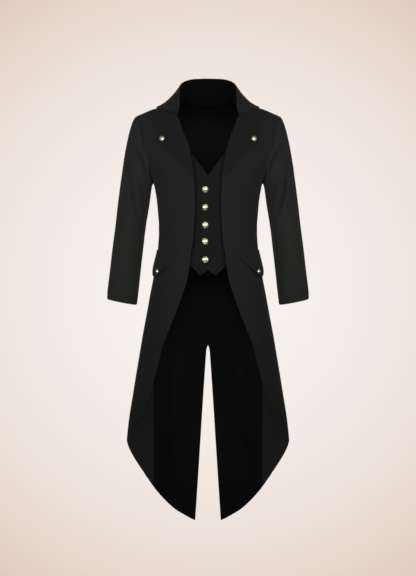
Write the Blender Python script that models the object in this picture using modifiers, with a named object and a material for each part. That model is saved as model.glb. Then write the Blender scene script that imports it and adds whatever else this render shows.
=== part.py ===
"""Long tailcoat with a high collar, wide lapels, a mock waistcoat and two pointed tails.

The coat is worn by nobody but keeps its filled-out form. Every cloth piece is a closed wall
between an outer and an inner grid of points, and the grids come from a few sections of the body.
Points are worked out in millimetres and become metres when a mesh is made. The frame has its
origin between the shoulders at the height of the neck points, +X to the wearer's left, the front
towards -Y and +Z up. Levels are heights before the slope of the shoulders is added.
"""
import math

import bmesh
import bpy
import numpy as np
from mathutils import Matrix, Vector

MM = 0.001

# Driving dimensions of the body of the coat
NECK_POINT_X = 79.0
SHOULDER_POINT_X = 225.0
SHOULDER_DROP = 50.0
SHOULDER_CURVE = 1.1
ARMPIT_LEVEL = -262.0
HIP_LEVEL = -560.0
SECTION_POWER = 2.3
SECTION_CENTRE_Y = 5.0
NAPE_DIP = 14.0
ARMHOLE_REACH = 0.6
FRONT_TOP_POWER = 1.6
BACK_TOP_POWER = 3.4
BACK_TOP_POWER_FALL = 1.2
BACK_TOP_POWER_WIDTH = 150.0

# Cloth and seams
CLOTH = 2.0
LINING = 1.0
LINING_SEAT = 0.6
LINING_HEM_MARGIN = 7.0
LINING_CENTRE_MARGIN = 2.5
LINING_TOP_MARGIN = 2.0
LINING_SIDE_MARGIN = 1.2
WAISTCOAT_CLOTH = 1.6
COLLAR_CLOTH = 2.2
SEAM_GAP = 0.3
EDGE_LIFT = 4.0
EDGE_LIFT_WIDTH = 60.0
EDGE_LIFT_END = -600.0
EDGE_LIFT_FADE = 90.0

# Cut-away hem, side seam and vent
HEM_CORNER_LEVEL = -1072.0
SEAM_FOOT_LEVEL = -1230.0
TAIL_TIP_LEVEL = -1338.0
VENT_TOP_LEVEL = -782.0
ROLL_TOP_LEVEL = -48.0

# Columns: level, half width of the body seen from the front
HALF_WIDTHS = (
    (-1340, 298), (-1180, 272), (-1110, 259), (-1072, 256), (-1011, 249.3), (-853, 226),
    (-664, 192.4), (-569, 173.5), (-506, 164), (-474, 158.5), (-442, 156), (-411, 155),
    (-363, 157.4), (-316, 161.5), (-284, 166.5), (-268, 170), (-262, 171.5),
)
# Columns: level, depth of the front and of the back from the section's centre
DEPTHS = (
    (-1340, 120, 146), (-900, 117, 131), (-700, 113, 120), (-560, 109, 107), (-480, 105, 88),
    (-411, 103, 78), (-340, 110.5, 96), (-290, 116.5, 112), (-262, 118, 117),
)
# Columns: level, half width at the armhole seam
ARMHOLE_WIDTHS = (
    (-262, 171.5), (-249, 177), (-204, 186), (-157, 195.6), (-135, 202), (-69.5, 212),
    (-13, 224), (0, 225),
)
# Columns: level, distance of the front neckline from the middle
NECKLINE = ((-48, 99), (-30, 91), (-14, 83.5), (0, 79))
# Columns: level, distance of the front edge from the middle, from the hem corner to the roll
FRONT_EDGE = (
    (-1072, 256), (-1042, 247.5), (-1017, 232.8), (-990, 210.7), (-956, 194), (-902, 175),
    (-842, 159), (-782, 145), (-711, 117.5), (-634, 87.5), (-574, 67.5), (-522, 57.5),
    (-478, 52.5), (-442, 47), (-403, 44.5), (-372, 42.5), (-328, 42), (-287, 42.5),
    (-250, 44.5), (-228, 48.5), (-199, 52.8), (-162, 59.4), (-141.5, 65), (-107.5, 78.7),
    (-48, 99),
)
# Columns: level, distance of the side seam from the middle, on the back half
SIDE_SEAM = (
    (-1230, 174), (-853, 174), (-760, 172.5), (-664, 170), (-569, 161), (-474, 152),
    (-411, 150.5), (-363, 155), (-316, 160.8), (-284, 166.3), (-262, 171.5),
)
# Columns: level, distance of the tail's hem from the middle
TAIL_HEM = (
    (-1338, 41.5), (-1332, 55), (-1322, 73), (-1306.5, 99), (-1290, 119.5), (-1273, 137),
    (-1240, 166), (-1208, 189), (-1175, 209), (-1143, 228), (-1109, 246), (-1092, 253),
    (-1072, 256),
)
# Columns: level, half width of the open centre vent
VENT = (
    (-1338, 41), (-1210, 32.5), (-1081, 24.3), (-953, 16.2), (-809, 5), (-792, 2.8),
    (-782, 0.15),
)

# Levels of the rows that fronts and backs share above the armpit
UPPER_LEVELS = (
    -262, -258, -247, -215, -180, -145, -110, -78, -48, -26, -12, -4, 0,
)
HIP_ROWS = 8
# Rows of the tails as shares of the rise from the hem to the hip, one of them at the vent's top
TAIL_RISES = (0, 0.1, 0.2, 0.3, 0.4, 0.5, 0.58, 0.65, 0.7147, 0.86)
FRONT_COLUMNS = 9
BACK_COLUMNS = 9
NECK_POINT_COLUMN = 5

# Sleeve. Columns: level, outer and inner edge seen from the front, half depth, centre in Y
SLEEVE_RINGS = (
    (-300, 281, 181, 68, 8), (-340, 286, 187, 66.5, 9), (-379, 290.5, 193.4, 65, 9),
    (-420, 295.4, 199.2, 63, 8), (-465, 300.6, 204.6, 60.5, 4), (-510, 305.6, 209.6, 57, -4),
    (-555, 310.5, 214.6, 53.5, -15), (-595, 314.8, 219, 50.5, -27), (-622, 317.4, 221.8, 49, -35),
    (-638.5, 317.6, 223.6, 48, -40),
)
CUFF_TILT = 8.5
CROWN_STEPS = (0.0, 0.07, 0.17, 0.3, 0.46, 0.64, 0.82, 1.0)
CROWN_TANGENT_TOP = (85.0, 0.0, -60.0)
CROWN_TANGENT_ARMPIT = (18.0, 0.0, -4.0)
CROWN_FULLNESS = 24.0
FRONT_SLEEVE_SEAM = 9
BACK_SLEEVE_SEAM = 17

# Collar. Columns: share of the neckline, then the roll line and the leaf edge as X, Y, Z
COLLAR_GUIDES = (
    (0.00, 0, 84, 72.5, 0, 110, -30),
    (0.20, 38, 77, 71, 58, 103, -32),
    (0.40, 67.5, 50, 63.5, 112, 78, -33),
    (0.55, 85.5, 20, 48.5, 143, 47, -30),
    (0.68, 90, -6, 30, 157, 22, -24),
    (0.82, 90.5, -28, 3, 162, 5, -22),
    (0.92, 91.5, -42, -24, 162, -4, -23.5),
    (1.00, 95.5, -53, -43, 161, -10, -26),
)
COLLAR_STATIONS = 14
COLLAR_ROLL_RADIUS = 3.2
COLLAR_ARC_STEPS = 4
COLLAR_STAND_STEPS = 2
COLLAR_FALL_STEPS = 6
COLLAR_END_GAP = 1.5
COLLAR_SEAT = 0.7
COLLAR_LEAF_TURN = 0.35

# Lapel. Columns: X and Z seen from the front
LAPEL_TOP_EDGE = ((97, -54), (112, -41), (132, -36), (155, -37), (176, -39.5))
LAPEL_OUTER_EDGE = (
    (176, -39.5), (170.5, -64), (164.5, -82.5), (159.6, -101), (160, -114), (166, -131),
)
LAPEL_LOWER_EDGE = (
    (166, -131), (152, -146), (140.5, -155), (115, -178), (95, -196), (73, -222.5),
    (49.5, -247),
)
LAPEL_OUTER_ROWS = 5
LAPEL_LOWER_ROWS = 7
LAPEL_COLUMNS = 8
LAPEL_ROW_SPACE = 8.0
LAPEL_SEAM_GAP = 0.4
LAPEL_SEAT = 0.9
LAPEL_TOP_SEAT = 1.1
LAPEL_TOP_SEAT_LEVEL = -60.0
LAPEL_ROLL_RADIUS = 2.0
LAPEL_ROLL_STEPS = 4
LAPEL_ROLL_EASE = 28.0

# Mock waistcoat
WAISTCOAT_V_LEVEL = -238.0
WAISTCOAT_V_SLOPE = 1.36
WAISTCOAT_POINT = (24.0, -554.5)
WAISTCOAT_NOTCH_LEVEL = -536.5
WAISTCOAT_HEM_SLOPE = 0.98
WAISTCOAT_SEAT = 2.3
WAISTCOAT_UNDERLAY = 2.3
WAISTCOAT_UNDERLAY_END = 34.0
WAISTCOAT_UNDERLAY_FADE = 40.0
WAISTCOAT_ROWS = 14
# Distances of the columns from the middle, from the lap to the edge hidden behind the front
WAISTCOAT_OVER = (-20, -10, 0, 12, 24, 38, 52, 72, 92)
WAISTCOAT_UNDER = (16, 8, 0, -12, -24, -38, -52, -72, -92)

# Pocket flap, measured along the hip from its point
FLAP_TOP_LEVEL = -474.0
FLAP_TIP_ANGLE = 74.0
FLAP_HALF_LENGTH = 68.0
FLAP_END_HEIGHT = 29.0
FLAP_TIP_HEIGHT = 84.0
FLAP_TIP_FLAT = 9.0
FLAP_SEAT = 0.9
FLAP_FLARE = 4.2
FLAP_ROWS = 4
# Columns: distance from the flap's point as a share of half its length
FLAP_COLUMNS = (-1, -0.8, -0.55, -0.33, -0.132, 0.132, 0.33, 0.55, 0.8, 1)

# Buttons. The lapel's and the flap's: diameter, X and Z seen from the front
WAISTCOAT_BUTTON_LEVELS = (-286.0, -342.0, -397.5, -448.0, -505.0)
WAISTCOAT_BUTTON_X = -9.0
WAISTCOAT_BUTTON_DIAMETER = 18.5
LAPEL_BUTTON = (16.5, 144.0, -125.5)
FLAP_BUTTON = (15.8, 161.0, -542.5)
BUTTON_DOME = 4.6
BUTTON_RIM = 1.3
BUTTON_STEPS = 20
BUTTON_SEAT = 0.45
BUTTON_DOME_REACH = 0.94
BUTTON_DOME_ANGLES = (0, 24, 46, 66, 84)
# Columns: share of the radius, share of the rim's height
BUTTON_EDGE = ((1.0, 0.7), (0.96, 0.0), (0.0, 0.0))

COLOURS = {
    "outer_cloth": ((0.0125, 0.0125, 0.013), 0.85, 0.0),
    "sleeve_cloth": ((0.0145, 0.0145, 0.0135), 0.85, 0.0),
    "lining_cloth": ((0.0035, 0.0035, 0.004), 0.55, 0.0),
    "pale_brass": ((0.78, 0.67, 0.45), 0.3, 1.0),
}


class Curve:
    """A smooth curve through (position, value) rows that doesn't overshoot them."""

    def __init__(self, rows, value_column=1):
        ordered = sorted(rows, key=lambda row: row[0])
        self.at = np.array([row[0] for row in ordered], float)
        self.value = np.array([row[value_column] for row in ordered], float)
        step = np.diff(self.at)
        slope = np.diff(self.value) / step
        inner = np.zeros(len(slope) - 1)
        same_way = slope[:-1] * slope[1:] > 0
        before, after = slope[:-1][same_way], slope[1:][same_way]
        wide, narrow = step[1:][same_way], step[:-1][same_way]
        weight_a, weight_b = 2 * wide + narrow, wide + 2 * narrow
        inner[same_way] = (weight_a + weight_b) / (weight_a / before + weight_b / after)
        self.slope = np.concatenate(([slope[0]], inner, [slope[-1]]))

    def __call__(self, place):
        place = np.clip(place, self.at[0], self.at[-1])
        index = np.clip(np.searchsorted(self.at, place) - 1, 0, len(self.at) - 2)
        width = self.at[index + 1] - self.at[index]
        part = (place - self.at[index]) / width
        rest = 1 - part
        return (
            self.value[index] * (1 + 2 * part) * rest ** 2
            + self.value[index + 1] * part ** 2 * (3 - 2 * part)
            + self.slope[index] * width * part * rest ** 2
            - self.slope[index + 1] * width * part ** 2 * rest
        )


half_width_below = Curve(HALF_WIDTHS)
front_depth_below = Curve(DEPTHS, 1)
back_depth_below = Curve(DEPTHS, 2)
armhole_width = Curve(ARMHOLE_WIDTHS)
neckline = Curve(NECKLINE)
front_edge_below = Curve(FRONT_EDGE)
side_seam = Curve(SIDE_SEAM)
tail_hem = Curve(TAIL_HEM)
vent = Curve(VENT)


def ease(part):
    """Goes from 0 to 1 with soft ends."""
    part = np.clip(part, 0.0, 1.0)
    return part * part * (3 - 2 * part)


def unit(vectors):
    """Vectors scaled to length one."""
    length = np.linalg.norm(vectors, axis=-1, keepdims=True)
    return vectors / np.maximum(length, 1e-9)


def height_share(level):
    """How far a level lies between the armpit, 0, and the shoulder line, 1."""
    return np.clip((level - ARMPIT_LEVEL) / -ARMPIT_LEVEL, 0.0, 1.0)


def armhole_share(level):
    """How far the armhole's edge lies in front of or behind the side, as a share of the depth."""
    opened = np.clip(2 * height_share(level), 0.0, 1.0)
    return ARMHOLE_REACH * np.sqrt(1 - (1 - opened) ** 2)


def half_width(level):
    """Half the width of the whole section at a level, under the sleeve too."""
    if level <= ARMPIT_LEVEL:
        return half_width_below(level)
    rest = 1 - armhole_share(level) ** SECTION_POWER
    return armhole_width(level) / rest ** (1 / SECTION_POWER)


def depth(level, x, is_front):
    """Depth of the section from its centre to the front or to the back."""
    if level <= ARMPIT_LEVEL:
        return front_depth_below(level) if is_front else back_depth_below(level)
    share = height_share(level)
    if is_front:
        power = FRONT_TOP_POWER
        full = front_depth_below(ARMPIT_LEVEL)
    else:
        narrowing = min(abs(x) / BACK_TOP_POWER_WIDTH, 1.0)
        power = BACK_TOP_POWER - BACK_TOP_POWER_FALL * narrowing
        full = back_depth_below(ARMPIT_LEVEL)
    return full * max(1 - share ** power, 0.0) ** (1 / power)


def shoulder_slope(level, x):
    """Height that the slope of the shoulder takes off a point."""
    past_neck = max(abs(x) - NECK_POINT_X, 0.0) / (SHOULDER_POINT_X - NECK_POINT_X)
    return -SHOULDER_DROP * past_neck ** SHOULDER_CURVE * ease(height_share(level))


def section_y(x, level, is_front):
    """Distance in Y of the body's surface from the section's centre."""
    ratio = min(abs(x) / half_width(level), 1.0)
    return depth(level, x, is_front) * (1 - ratio ** SECTION_POWER) ** (1 / SECTION_POWER)


def skin(x, level, is_front):
    """Point of the body's surface at a distance from the middle and a level."""
    y = section_y(x, level, is_front)
    side = -1.0 if is_front else 1.0
    return np.array((x, SECTION_CENTRE_Y + side * y, level + shoulder_slope(level, x)))


def angle_of(x, level, is_front):
    """Angle round the section from the middle of the front, in degrees."""
    angle = math.degrees(math.atan2(x, section_y(x, level, is_front)))
    return angle if is_front else 180.0 - angle


def skin_round(angle, level):
    """Point of the body's surface at an angle round the section and a level."""
    is_front = angle <= 90.0
    across = abs(math.sin(math.radians(angle))) / half_width(level)
    along = abs(math.cos(math.radians(angle)))
    reach = (across ** SECTION_POWER
             + (along / depth(level, 0.0, is_front)) ** SECTION_POWER) ** (-1 / SECTION_POWER)
    return skin(reach * abs(math.sin(math.radians(angle))), level, is_front)


def level_at(x, z):
    """Level whose surface point at x has the height z."""
    low, high = TAIL_TIP_LEVEL, 0.0
    for _ in range(40):
        middle = (low + high) / 2
        if middle + shoulder_slope(middle, x) < z:
            low = middle
        else:
            high = middle
    return (low + high) / 2


def front_edge(level):
    """Distance of the front's free edge from the middle."""
    return neckline(level) if level > ROLL_TOP_LEVEL else front_edge_below(level)


def edge_lift(x, level):
    """How far the front stands off the body near its free edge."""
    nearness = 1 - ease((abs(x) - front_edge(level)) / EDGE_LIFT_WIDTH)
    lower = ease((level - EDGE_LIFT_END) / EDGE_LIFT_FADE)
    upper = ease(level / ROLL_TOP_LEVEL)
    return EDGE_LIFT * nearness * lower * upper


def surface_normal(x, level, is_front):
    """Direction that points out of the body's surface."""
    step = 1.0
    low = min(level, -2.5 * step)
    across = skin(x + step, low, is_front) - skin(x - step, low, is_front)
    upward = skin(x, low + step, is_front) - skin(x, low - step, is_front)
    normal = np.cross(across, upward)
    return unit(normal if is_front else -normal)


def lifted_front(x, level):
    """Point of a front's outer face."""
    return skin(x, level, True) + edge_lift(x, level) * surface_normal(x, level, True)


def hem_level(angle):
    """Level of the tail's hem at an angle round the body."""
    levels = np.linspace(HEM_CORNER_LEVEL, TAIL_TIP_LEVEL, 120)
    angles = [angle_of(float(tail_hem(level)), level, False) for level in levels]
    return float(np.interp(angle, angles, levels))


def edge_angle(level):
    """Angle of the front edge round the body."""
    return angle_of(float(front_edge_below(level)), level, True)


def seam_angle(level):
    """Angle of the side seam round the body."""
    return angle_of(float(side_seam(level)), level, False)


def centre_x(level):
    """Distance of a back's inner edge from the middle: the vent, and above it the seam."""
    return float(vent(level)) if level < VENT_TOP_LEVEL else SEAM_GAP / 2


def centre_angle(level):
    """Angle of a back's inner edge round the body."""
    return angle_of(centre_x(level), level, False)


def spread(first, last, parts):
    """Evenly spaced values."""
    return [first + (last - first) * part for part in parts]


def body_rows(columns, foot_of, first_angle, last_angle):
    """Rows of a front or back from the hem up to the armpit."""
    shares = np.linspace(0.0, 1.0, columns)
    rows = []
    foot_angles = spread(first_angle(foot_of(0)), last_angle(foot_of(1)), shares)
    foot_levels = [foot_of(0)] + [hem_level(angle) for angle in foot_angles[1:-1]] + [foot_of(1)]
    for rise in TAIL_RISES:
        levels = [foot + (HIP_LEVEL - foot) * rise for foot in foot_levels]
        angles = spread(first_angle(levels[0]), last_angle(levels[-1]), shares)
        rows.append([skin_round(angle, level) for angle, level in zip(angles, levels)])
    for level in np.linspace(HIP_LEVEL, ARMPIT_LEVEL, HIP_ROWS + 1)[:-1]:
        angles = spread(first_angle(level), last_angle(level), shares)
        rows.append([skin_round(angle, level) for angle in angles])
    return rows


def front_outer():
    """Outer face of the left front, columns from the free edge to the side seam."""
    foot = {0: HEM_CORNER_LEVEL, 1: SEAM_FOOT_LEVEL}
    rows = body_rows(FRONT_COLUMNS, foot.get, edge_angle, seam_angle)
    shares = np.linspace(0.0, 1.0, FRONT_COLUMNS)
    low_angles = spread(edge_angle(ARMPIT_LEVEL), 90.0, shares)
    low_x = [skin_round(angle, ARMPIT_LEVEL)[0] for angle in low_angles]
    low_shares = [(x - low_x[0]) / (low_x[-1] - low_x[0]) for x in low_x]
    for level in UPPER_LEVELS:
        blend = float(ease(height_share(level)))
        edge, hole = float(front_edge(level)), float(armhole_width(level))
        row = []
        for low_share, top_share in zip(low_shares, shares):
            x = edge + (hole - edge) * (low_share * (1 - blend) + top_share * blend)
            row.append(skin(x, level, True))
        rows.append(row)
    grid = np.array(rows)
    for row in grid:
        for index, point in enumerate(row[:-1]):
            level = level_at(point[0], point[2])
            lift = edge_lift(point[0], level)
            if lift > 0:
                row[index] = point + lift * surface_normal(point[0], level, True)
    return grid


def back_outer():
    """Outer face of the left back, columns from the side seam to the middle."""
    foot = {0: SEAM_FOOT_LEVEL, 1: TAIL_TIP_LEVEL}
    rows = body_rows(BACK_COLUMNS, foot.get, seam_angle, centre_angle)
    shares = np.linspace(0.0, 1.0, BACK_COLUMNS)
    low_angles = spread(90.0, 180.0, shares)
    low_x = [skin_round(angle, ARMPIT_LEVEL)[0] for angle in low_angles]
    low_shares = [x / low_x[0] for x in low_x]
    neck_share = NECK_POINT_X / SHOULDER_POINT_X
    top_shares = np.interp(range(BACK_COLUMNS), (0, NECK_POINT_COLUMN - 1, BACK_COLUMNS - 1),
                           (1.0, neck_share, 0.0))
    for level in UPPER_LEVELS:
        share = float(height_share(level))
        blend = float(ease(share))
        row = []
        for low_share, top_share in zip(low_shares, top_shares):
            x_top = SHOULDER_POINT_X * top_share
            dip = NAPE_DIP * max(1 - (x_top / NECK_POINT_X) ** 2, 0.0)
            own_level = level - dip * share ** 2
            across = low_share * (1 - blend) + top_share * blend
            x = max(float(armhole_width(level)) * across, SEAM_GAP / 2)
            row.append(skin(x, own_level, False))
        rows.append(row)
    return np.array(rows)


def grid_normals(grid, outward_from):
    """Directions out of a grid of points, away from a place inside it."""
    down = np.gradient(grid, axis=0)
    along = np.gradient(grid, axis=1)
    normals = unit(np.cross(along, down))
    middle = grid[grid.shape[0] // 2, grid.shape[1] // 2]
    normal = normals[grid.shape[0] // 2, grid.shape[1] // 2]
    if np.dot(normal, middle - np.array(outward_from)) < 0:
        normals = -normals
    return normals


def body_normals(grid):
    """Directions out of a front or back, square to the shoulder seam on its top row."""
    normals = grid_normals(grid, (0.0, SECTION_CENTRE_Y, grid[grid.shape[0] // 2, 0, 2]))
    on_shoulder = np.abs(grid[-1, :, 1] - SECTION_CENTRE_Y) < 1.0
    top = normals[-1].copy()
    top[on_shoulder, 1] = 0.0
    normals[-1] = unit(top)
    return normals


def pull_in(grid, axis, index, amount):
    """Moves one border of a grid towards its neighbours."""
    inner = index + 1 if index == 0 else index - 1
    border = np.take(grid, index, axis=axis)
    neighbour = np.take(grid, inner, axis=axis)
    moved = border + amount * unit(neighbour - border)
    if axis == 0:
        grid[index] = moved
    else:
        grid[:, index] = moved


def mirrored(grid):
    """The same grid on the wearer's right."""
    return grid * np.array((-1.0, 1.0, 1.0))


def material(name):
    """Plain material with the piece's colour."""
    made = bpy.data.materials.get(name)
    if made:
        return made
    colour, roughness, metallic = COLOURS[name]
    made = bpy.data.materials.new(name)
    made.use_nodes = True
    shader = made.node_tree.nodes["Principled BSDF"]
    shader.inputs["Base Color"].default_value = (*colour, 1.0)
    shader.inputs["Roughness"].default_value = roughness
    shader.inputs["Metallic"].default_value = metallic
    return made


def grid_triangles(rows, columns, start, is_turned):
    """Triangles over a grid of points, all with the same diagonal, or all with the other one."""
    faces = []
    for row in range(rows - 1):
        for column in range(columns - 1):
            a = start + row * columns + column
            b, c, d = a + 1, a + columns + 1, a + columns
            faces.extend(((a, b, d), (b, c, d)) if is_turned else ((a, b, c), (a, c, d)))
    return faces


def rim_triangles(rows, columns):
    """Triangles that close a wall's border between its two grids."""
    top = [(rows - 1) * columns + column for column in range(columns)]
    loop = list(range(columns))
    loop += [row * columns + columns - 1 for row in range(1, rows)]
    loop += top[-2::-1]
    loop += [row * columns for row in range(rows - 2, 0, -1)]
    faces = []
    other = rows * columns
    for a, b in zip(loop, loop[1:] + loop[:1]):
        faces.extend(((a, b, b + other), (a, b + other, a + other)))
    return faces


def wall(name, outer, inner, material_name, is_turned=False):
    """Closed wall between two grids of points, as one object."""
    rows, columns = outer.shape[:2]
    points = np.concatenate((outer.reshape(-1, 3), inner.reshape(-1, 3))) * MM
    faces = grid_triangles(rows, columns, 0, is_turned)
    faces += grid_triangles(rows, columns, rows * columns, is_turned)
    faces += rim_triangles(rows, columns)
    mesh = bpy.data.meshes.new(name)
    mesh.from_pydata([tuple(point) for point in points], [], faces)
    shell = bmesh.new()
    shell.from_mesh(mesh)
    bmesh.ops.recalc_face_normals(shell, faces=shell.faces)
    shell.to_mesh(mesh)
    shell.free()
    mesh.shade_smooth()
    mesh.set_sharp_from_angle(angle=math.radians(50))
    mesh.materials.append(material(material_name))
    made = bpy.data.objects.new(name, mesh)
    COAT.objects.link(made)
    return made


def pair(stem, outer, inner, material_name):
    """The same wall for both sides of the wearer."""
    wall(stem + "_left", outer, inner, material_name)
    wall(stem + "_right", mirrored(outer), mirrored(inner), material_name)


def make_body():
    """Fronts, backs and the lining of the backs; returns the outer grids and their normals."""
    front, back = front_outer(), back_outer()
    front_out, back_out = body_normals(front), body_normals(back)
    upper = len(UPPER_LEVELS)
    armpit_row = front.shape[0] - upper
    seam_out = unit(front_out[:armpit_row + 1, -1] + back_out[:armpit_row + 1, 0])
    front_out[:armpit_row + 1, -1] = seam_out
    back_out[:armpit_row + 1, 0] = seam_out
    front_wall, back_wall = front.copy(), back.copy()
    pull_in(front_wall[:armpit_row + 1], 1, FRONT_COLUMNS - 1, SEAM_GAP / 2)
    pull_in(back_wall[:armpit_row + 1], 1, 0, SEAM_GAP / 2)
    front_wall[-1, :, 1] -= SEAM_GAP / 2
    back_wall[-1, :NECK_POINT_COLUMN, 1] += SEAM_GAP / 2
    back_out[armpit_row:, -1, 0] = 0.0
    back_out = unit(back_out)
    pair("front", front_wall, front_wall - CLOTH * front_out, "outer_cloth")
    pair("back", back_wall, back_wall - CLOTH * back_out, "outer_cloth")
    return front, front_out, back, back_out


def make_lining(back, back_out):
    """Black lining inside the backs and tails, a little short of their edges."""
    lining = back - (CLOTH + LINING_SEAT) * back_out
    pull_in(lining, 0, 0, LINING_HEM_MARGIN)
    pull_in(lining, 1, BACK_COLUMNS - 1, LINING_CENTRE_MARGIN)
    pull_in(lining, 0, lining.shape[0] - 1, LINING_TOP_MARGIN)
    pull_in(lining, 1, 0, LINING_SIDE_MARGIN)
    pair("lining", lining, lining - LINING * back_out, "lining_cloth")


def sleeve_ring(ring):
    """Points of one ring of the left sleeve below the crown, from its outer line forwards."""
    level, outer, inner, half_depth, centre_y = ring
    tilt = CUFF_TILT * ease((SLEEVE_RINGS[0][0] - level)
                            / (SLEEVE_RINGS[0][0] - SLEEVE_RINGS[-1][0]))
    angles = np.radians(np.arange(2 * len(UPPER_LEVELS) - 2) * 360.0
                        / (2 * len(UPPER_LEVELS) - 2))
    x = (outer + inner) / 2 + (outer - inner) / 2 * np.cos(angles)
    y = centre_y - half_depth * np.sin(angles)
    z = level + tilt * np.cos(angles)
    return np.stack((x, y, z), axis=1)


def armhole_ring(front, front_out, back, back_out):
    """Points, body normals and directions into the sleeve round the armhole, from the top."""
    upper = len(UPPER_LEVELS)
    points = np.concatenate((front[-1:-upper - 1:-1, -1], back[-upper + 1:-1, 0]))
    normals = np.concatenate((front_out[-1:-upper - 1:-1, -1], back_out[-upper + 1:-1, 0]))
    normals[upper - 1] = unit(front_out[-upper, -1] + back_out[-upper, 0])
    tangents = unit(np.roll(points, -1, axis=0) - np.roll(points, 1, axis=0))
    return points, normals, unit(np.cross(normals, tangents))


def sleeve_surface(front, front_out, back, back_out):
    """Outer face of the left sleeve as closed rings from the armhole to the cuff."""
    points, normals, leave = armhole_ring(front, front_out, back, back_out)
    start = points + SEAM_GAP * leave
    rings = [sleeve_ring(ring) for ring in SLEEVE_RINGS]
    count = len(start)
    angles = np.radians(np.arange(count) * 360.0 / count)
    topness = ((1 + np.cos(angles)) / 2)[:, None]
    tangent_start = (np.array(CROWN_TANGENT_TOP) * topness
                     + np.array(CROWN_TANGENT_ARMPIT) * (1 - topness))
    tangent_start[:, 1] -= CROWN_FULLNESS * np.sin(angles)
    run = unit(rings[1] - rings[0])
    tangent_end = run * np.linalg.norm(rings[0] - start, axis=1)[:, None]
    crown = []
    for step in CROWN_STEPS[:-1]:
        crown.append((1 + 2 * step) * (1 - step) ** 2 * start
                     + step ** 2 * (3 - 2 * step) * rings[0]
                     + step * (1 - step) ** 2 * tangent_start
                     - step ** 2 * (1 - step) * tangent_end)
    return np.array(crown + rings), normals, leave


def make_sleeves(front, front_out, back, back_out):
    """Top and under sleeves, parted at the two sleeve seams."""
    outer, body_out, leave = sleeve_surface(front, front_out, back, back_out)
    looped = np.concatenate((outer[:, -1:], outer, outer[:, :1]), axis=1)
    out = grid_normals(looped, outer[outer.shape[0] // 2].mean(axis=0))[:, 1:-1]
    inward = -out[0]
    against = np.minimum(np.sum(inward * leave, axis=1, keepdims=True), 0.0)
    thickness = -CLOTH * out
    thickness[0] = CLOTH * unit(inward - against * leave)
    inner = outer + thickness
    count = outer.shape[1]
    seams = {
        "sleeve_top": range(BACK_SLEEVE_SEAM - count, FRONT_SLEEVE_SEAM + 1),
        "sleeve_under": range(FRONT_SLEEVE_SEAM, BACK_SLEEVE_SEAM + 1),
    }
    for stem, picked in seams.items():
        columns = [index % count for index in picked]
        face, back_face = outer[:, columns].copy(), inner[:, columns].copy()
        for grid in (face, back_face):
            pull_in(grid, 1, 0, SEAM_GAP / 2)
            pull_in(grid, 1, len(columns) - 1, SEAM_GAP / 2)
        wall(stem + "_left", face, back_face, "sleeve_cloth", stem == "sleeve_top")
        wall(stem + "_right", mirrored(face), mirrored(back_face), "sleeve_cloth")


def neck_line(front, front_out, back, back_out):
    """Points, normals and directions away from the cloth on the left neckline, nape to front."""
    rows = sum(level > ROLL_TOP_LEVEL - 1 for level in UPPER_LEVELS)
    points = np.concatenate((back[-1, :NECK_POINT_COLUMN - 2:-1], front[-2:-rows - 1:-1, 0]))
    normals = np.concatenate((back_out[-1, :NECK_POINT_COLUMN - 2:-1],
                              front_out[-2:-rows - 1:-1, 0]))
    tangents = unit(np.gradient(points, axis=0))
    return points, normals, unit(np.cross(tangents, normals))


def collar_base(share, line):
    """Point, normal and direction away from the cloth at a share of the neckline."""
    points, normals, away = line
    run = np.concatenate(([0.0], np.cumsum(np.linalg.norm(np.diff(points, axis=0), axis=1))))
    at = share * (run[-1] - COLLAR_END_GAP)
    found = [np.array([np.interp(at, run, column) for column in values.T])
             for values in (points, normals, away)]
    return found[0], unit(found[1]), unit(found[2])


def collar_section(share, guides, line):
    """Middle line of the collar from the neckline up, over the roll and down to the leaf edge."""
    point, normal, away = collar_base(share, line)
    base = point + (SEAM_GAP + COLLAR_CLOTH / 2 + COLLAR_SEAT) * away - CLOTH / 2 * normal
    roll = np.array([guides[column](share) for column in (0, 1, 2)])
    leaf = np.array([guides[column](share) for column in (3, 4, 5)])
    radius = COLLAR_ROLL_RADIUS
    rise = unit(roll - base)
    fall = leaf - roll
    outward = unit(fall - np.dot(fall, rise) * rise)
    bend_start = roll - radius * rise - radius * 0.5 * outward
    line = [base + (bend_start - base) * part
            for part in np.linspace(0.0, 1.0, COLLAR_STAND_STEPS + 1)]
    centre = bend_start + radius * outward
    turn = math.atan2(np.dot(unit(leaf - centre), outward), np.dot(unit(leaf - centre), rise))
    for step in range(1, COLLAR_ARC_STEPS + 1):
        angle = turn * step / COLLAR_ARC_STEPS
        line.append(centre - radius * math.cos(angle) * outward + radius * math.sin(angle) * rise)
    bend_end = line[-1]
    length = np.linalg.norm(leaf - bend_end)
    leave = math.sin(turn) * outward + math.cos(turn) * rise
    arrive = unit(leaf - bend_end + COLLAR_LEAF_TURN * length * outward)
    for part in np.linspace(0.0, 1.0, COLLAR_FALL_STEPS + 1)[1:]:
        rest = 1 - part
        line.append(rest ** 3 * bend_end
                    + 3 * rest ** 2 * part * (bend_end + leave * length / 3)
                    + 3 * rest * part ** 2 * (leaf - arrive * length / 3)
                    + part ** 3 * leaf)
    return line


def make_collar(*body):
    """Collar with its stand, roll and fall in one wall."""
    line = neck_line(*body)
    guides = [Curve([(row[0], row[column]) for row in COLLAR_GUIDES]) for column in range(1, 7)]
    shares = np.linspace(0.0, 1.0, COLLAR_STATIONS + 1)
    half = np.array([collar_section(share, guides, line) for share in shares])
    half[0, :, 0] = 0.0
    whole = np.concatenate((mirrored(half[:0:-1]), half))
    down = np.gradient(whole, axis=1)
    along = np.gradient(whole, axis=0)
    out = unit(np.cross(along, down))
    middle = len(whole) // 2
    if out[middle, 0, 1] < 0:
        out = -out
    wall("collar", whole + COLLAR_CLOTH / 2 * out, whole - COLLAR_CLOTH / 2 * out, "outer_cloth")


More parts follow.
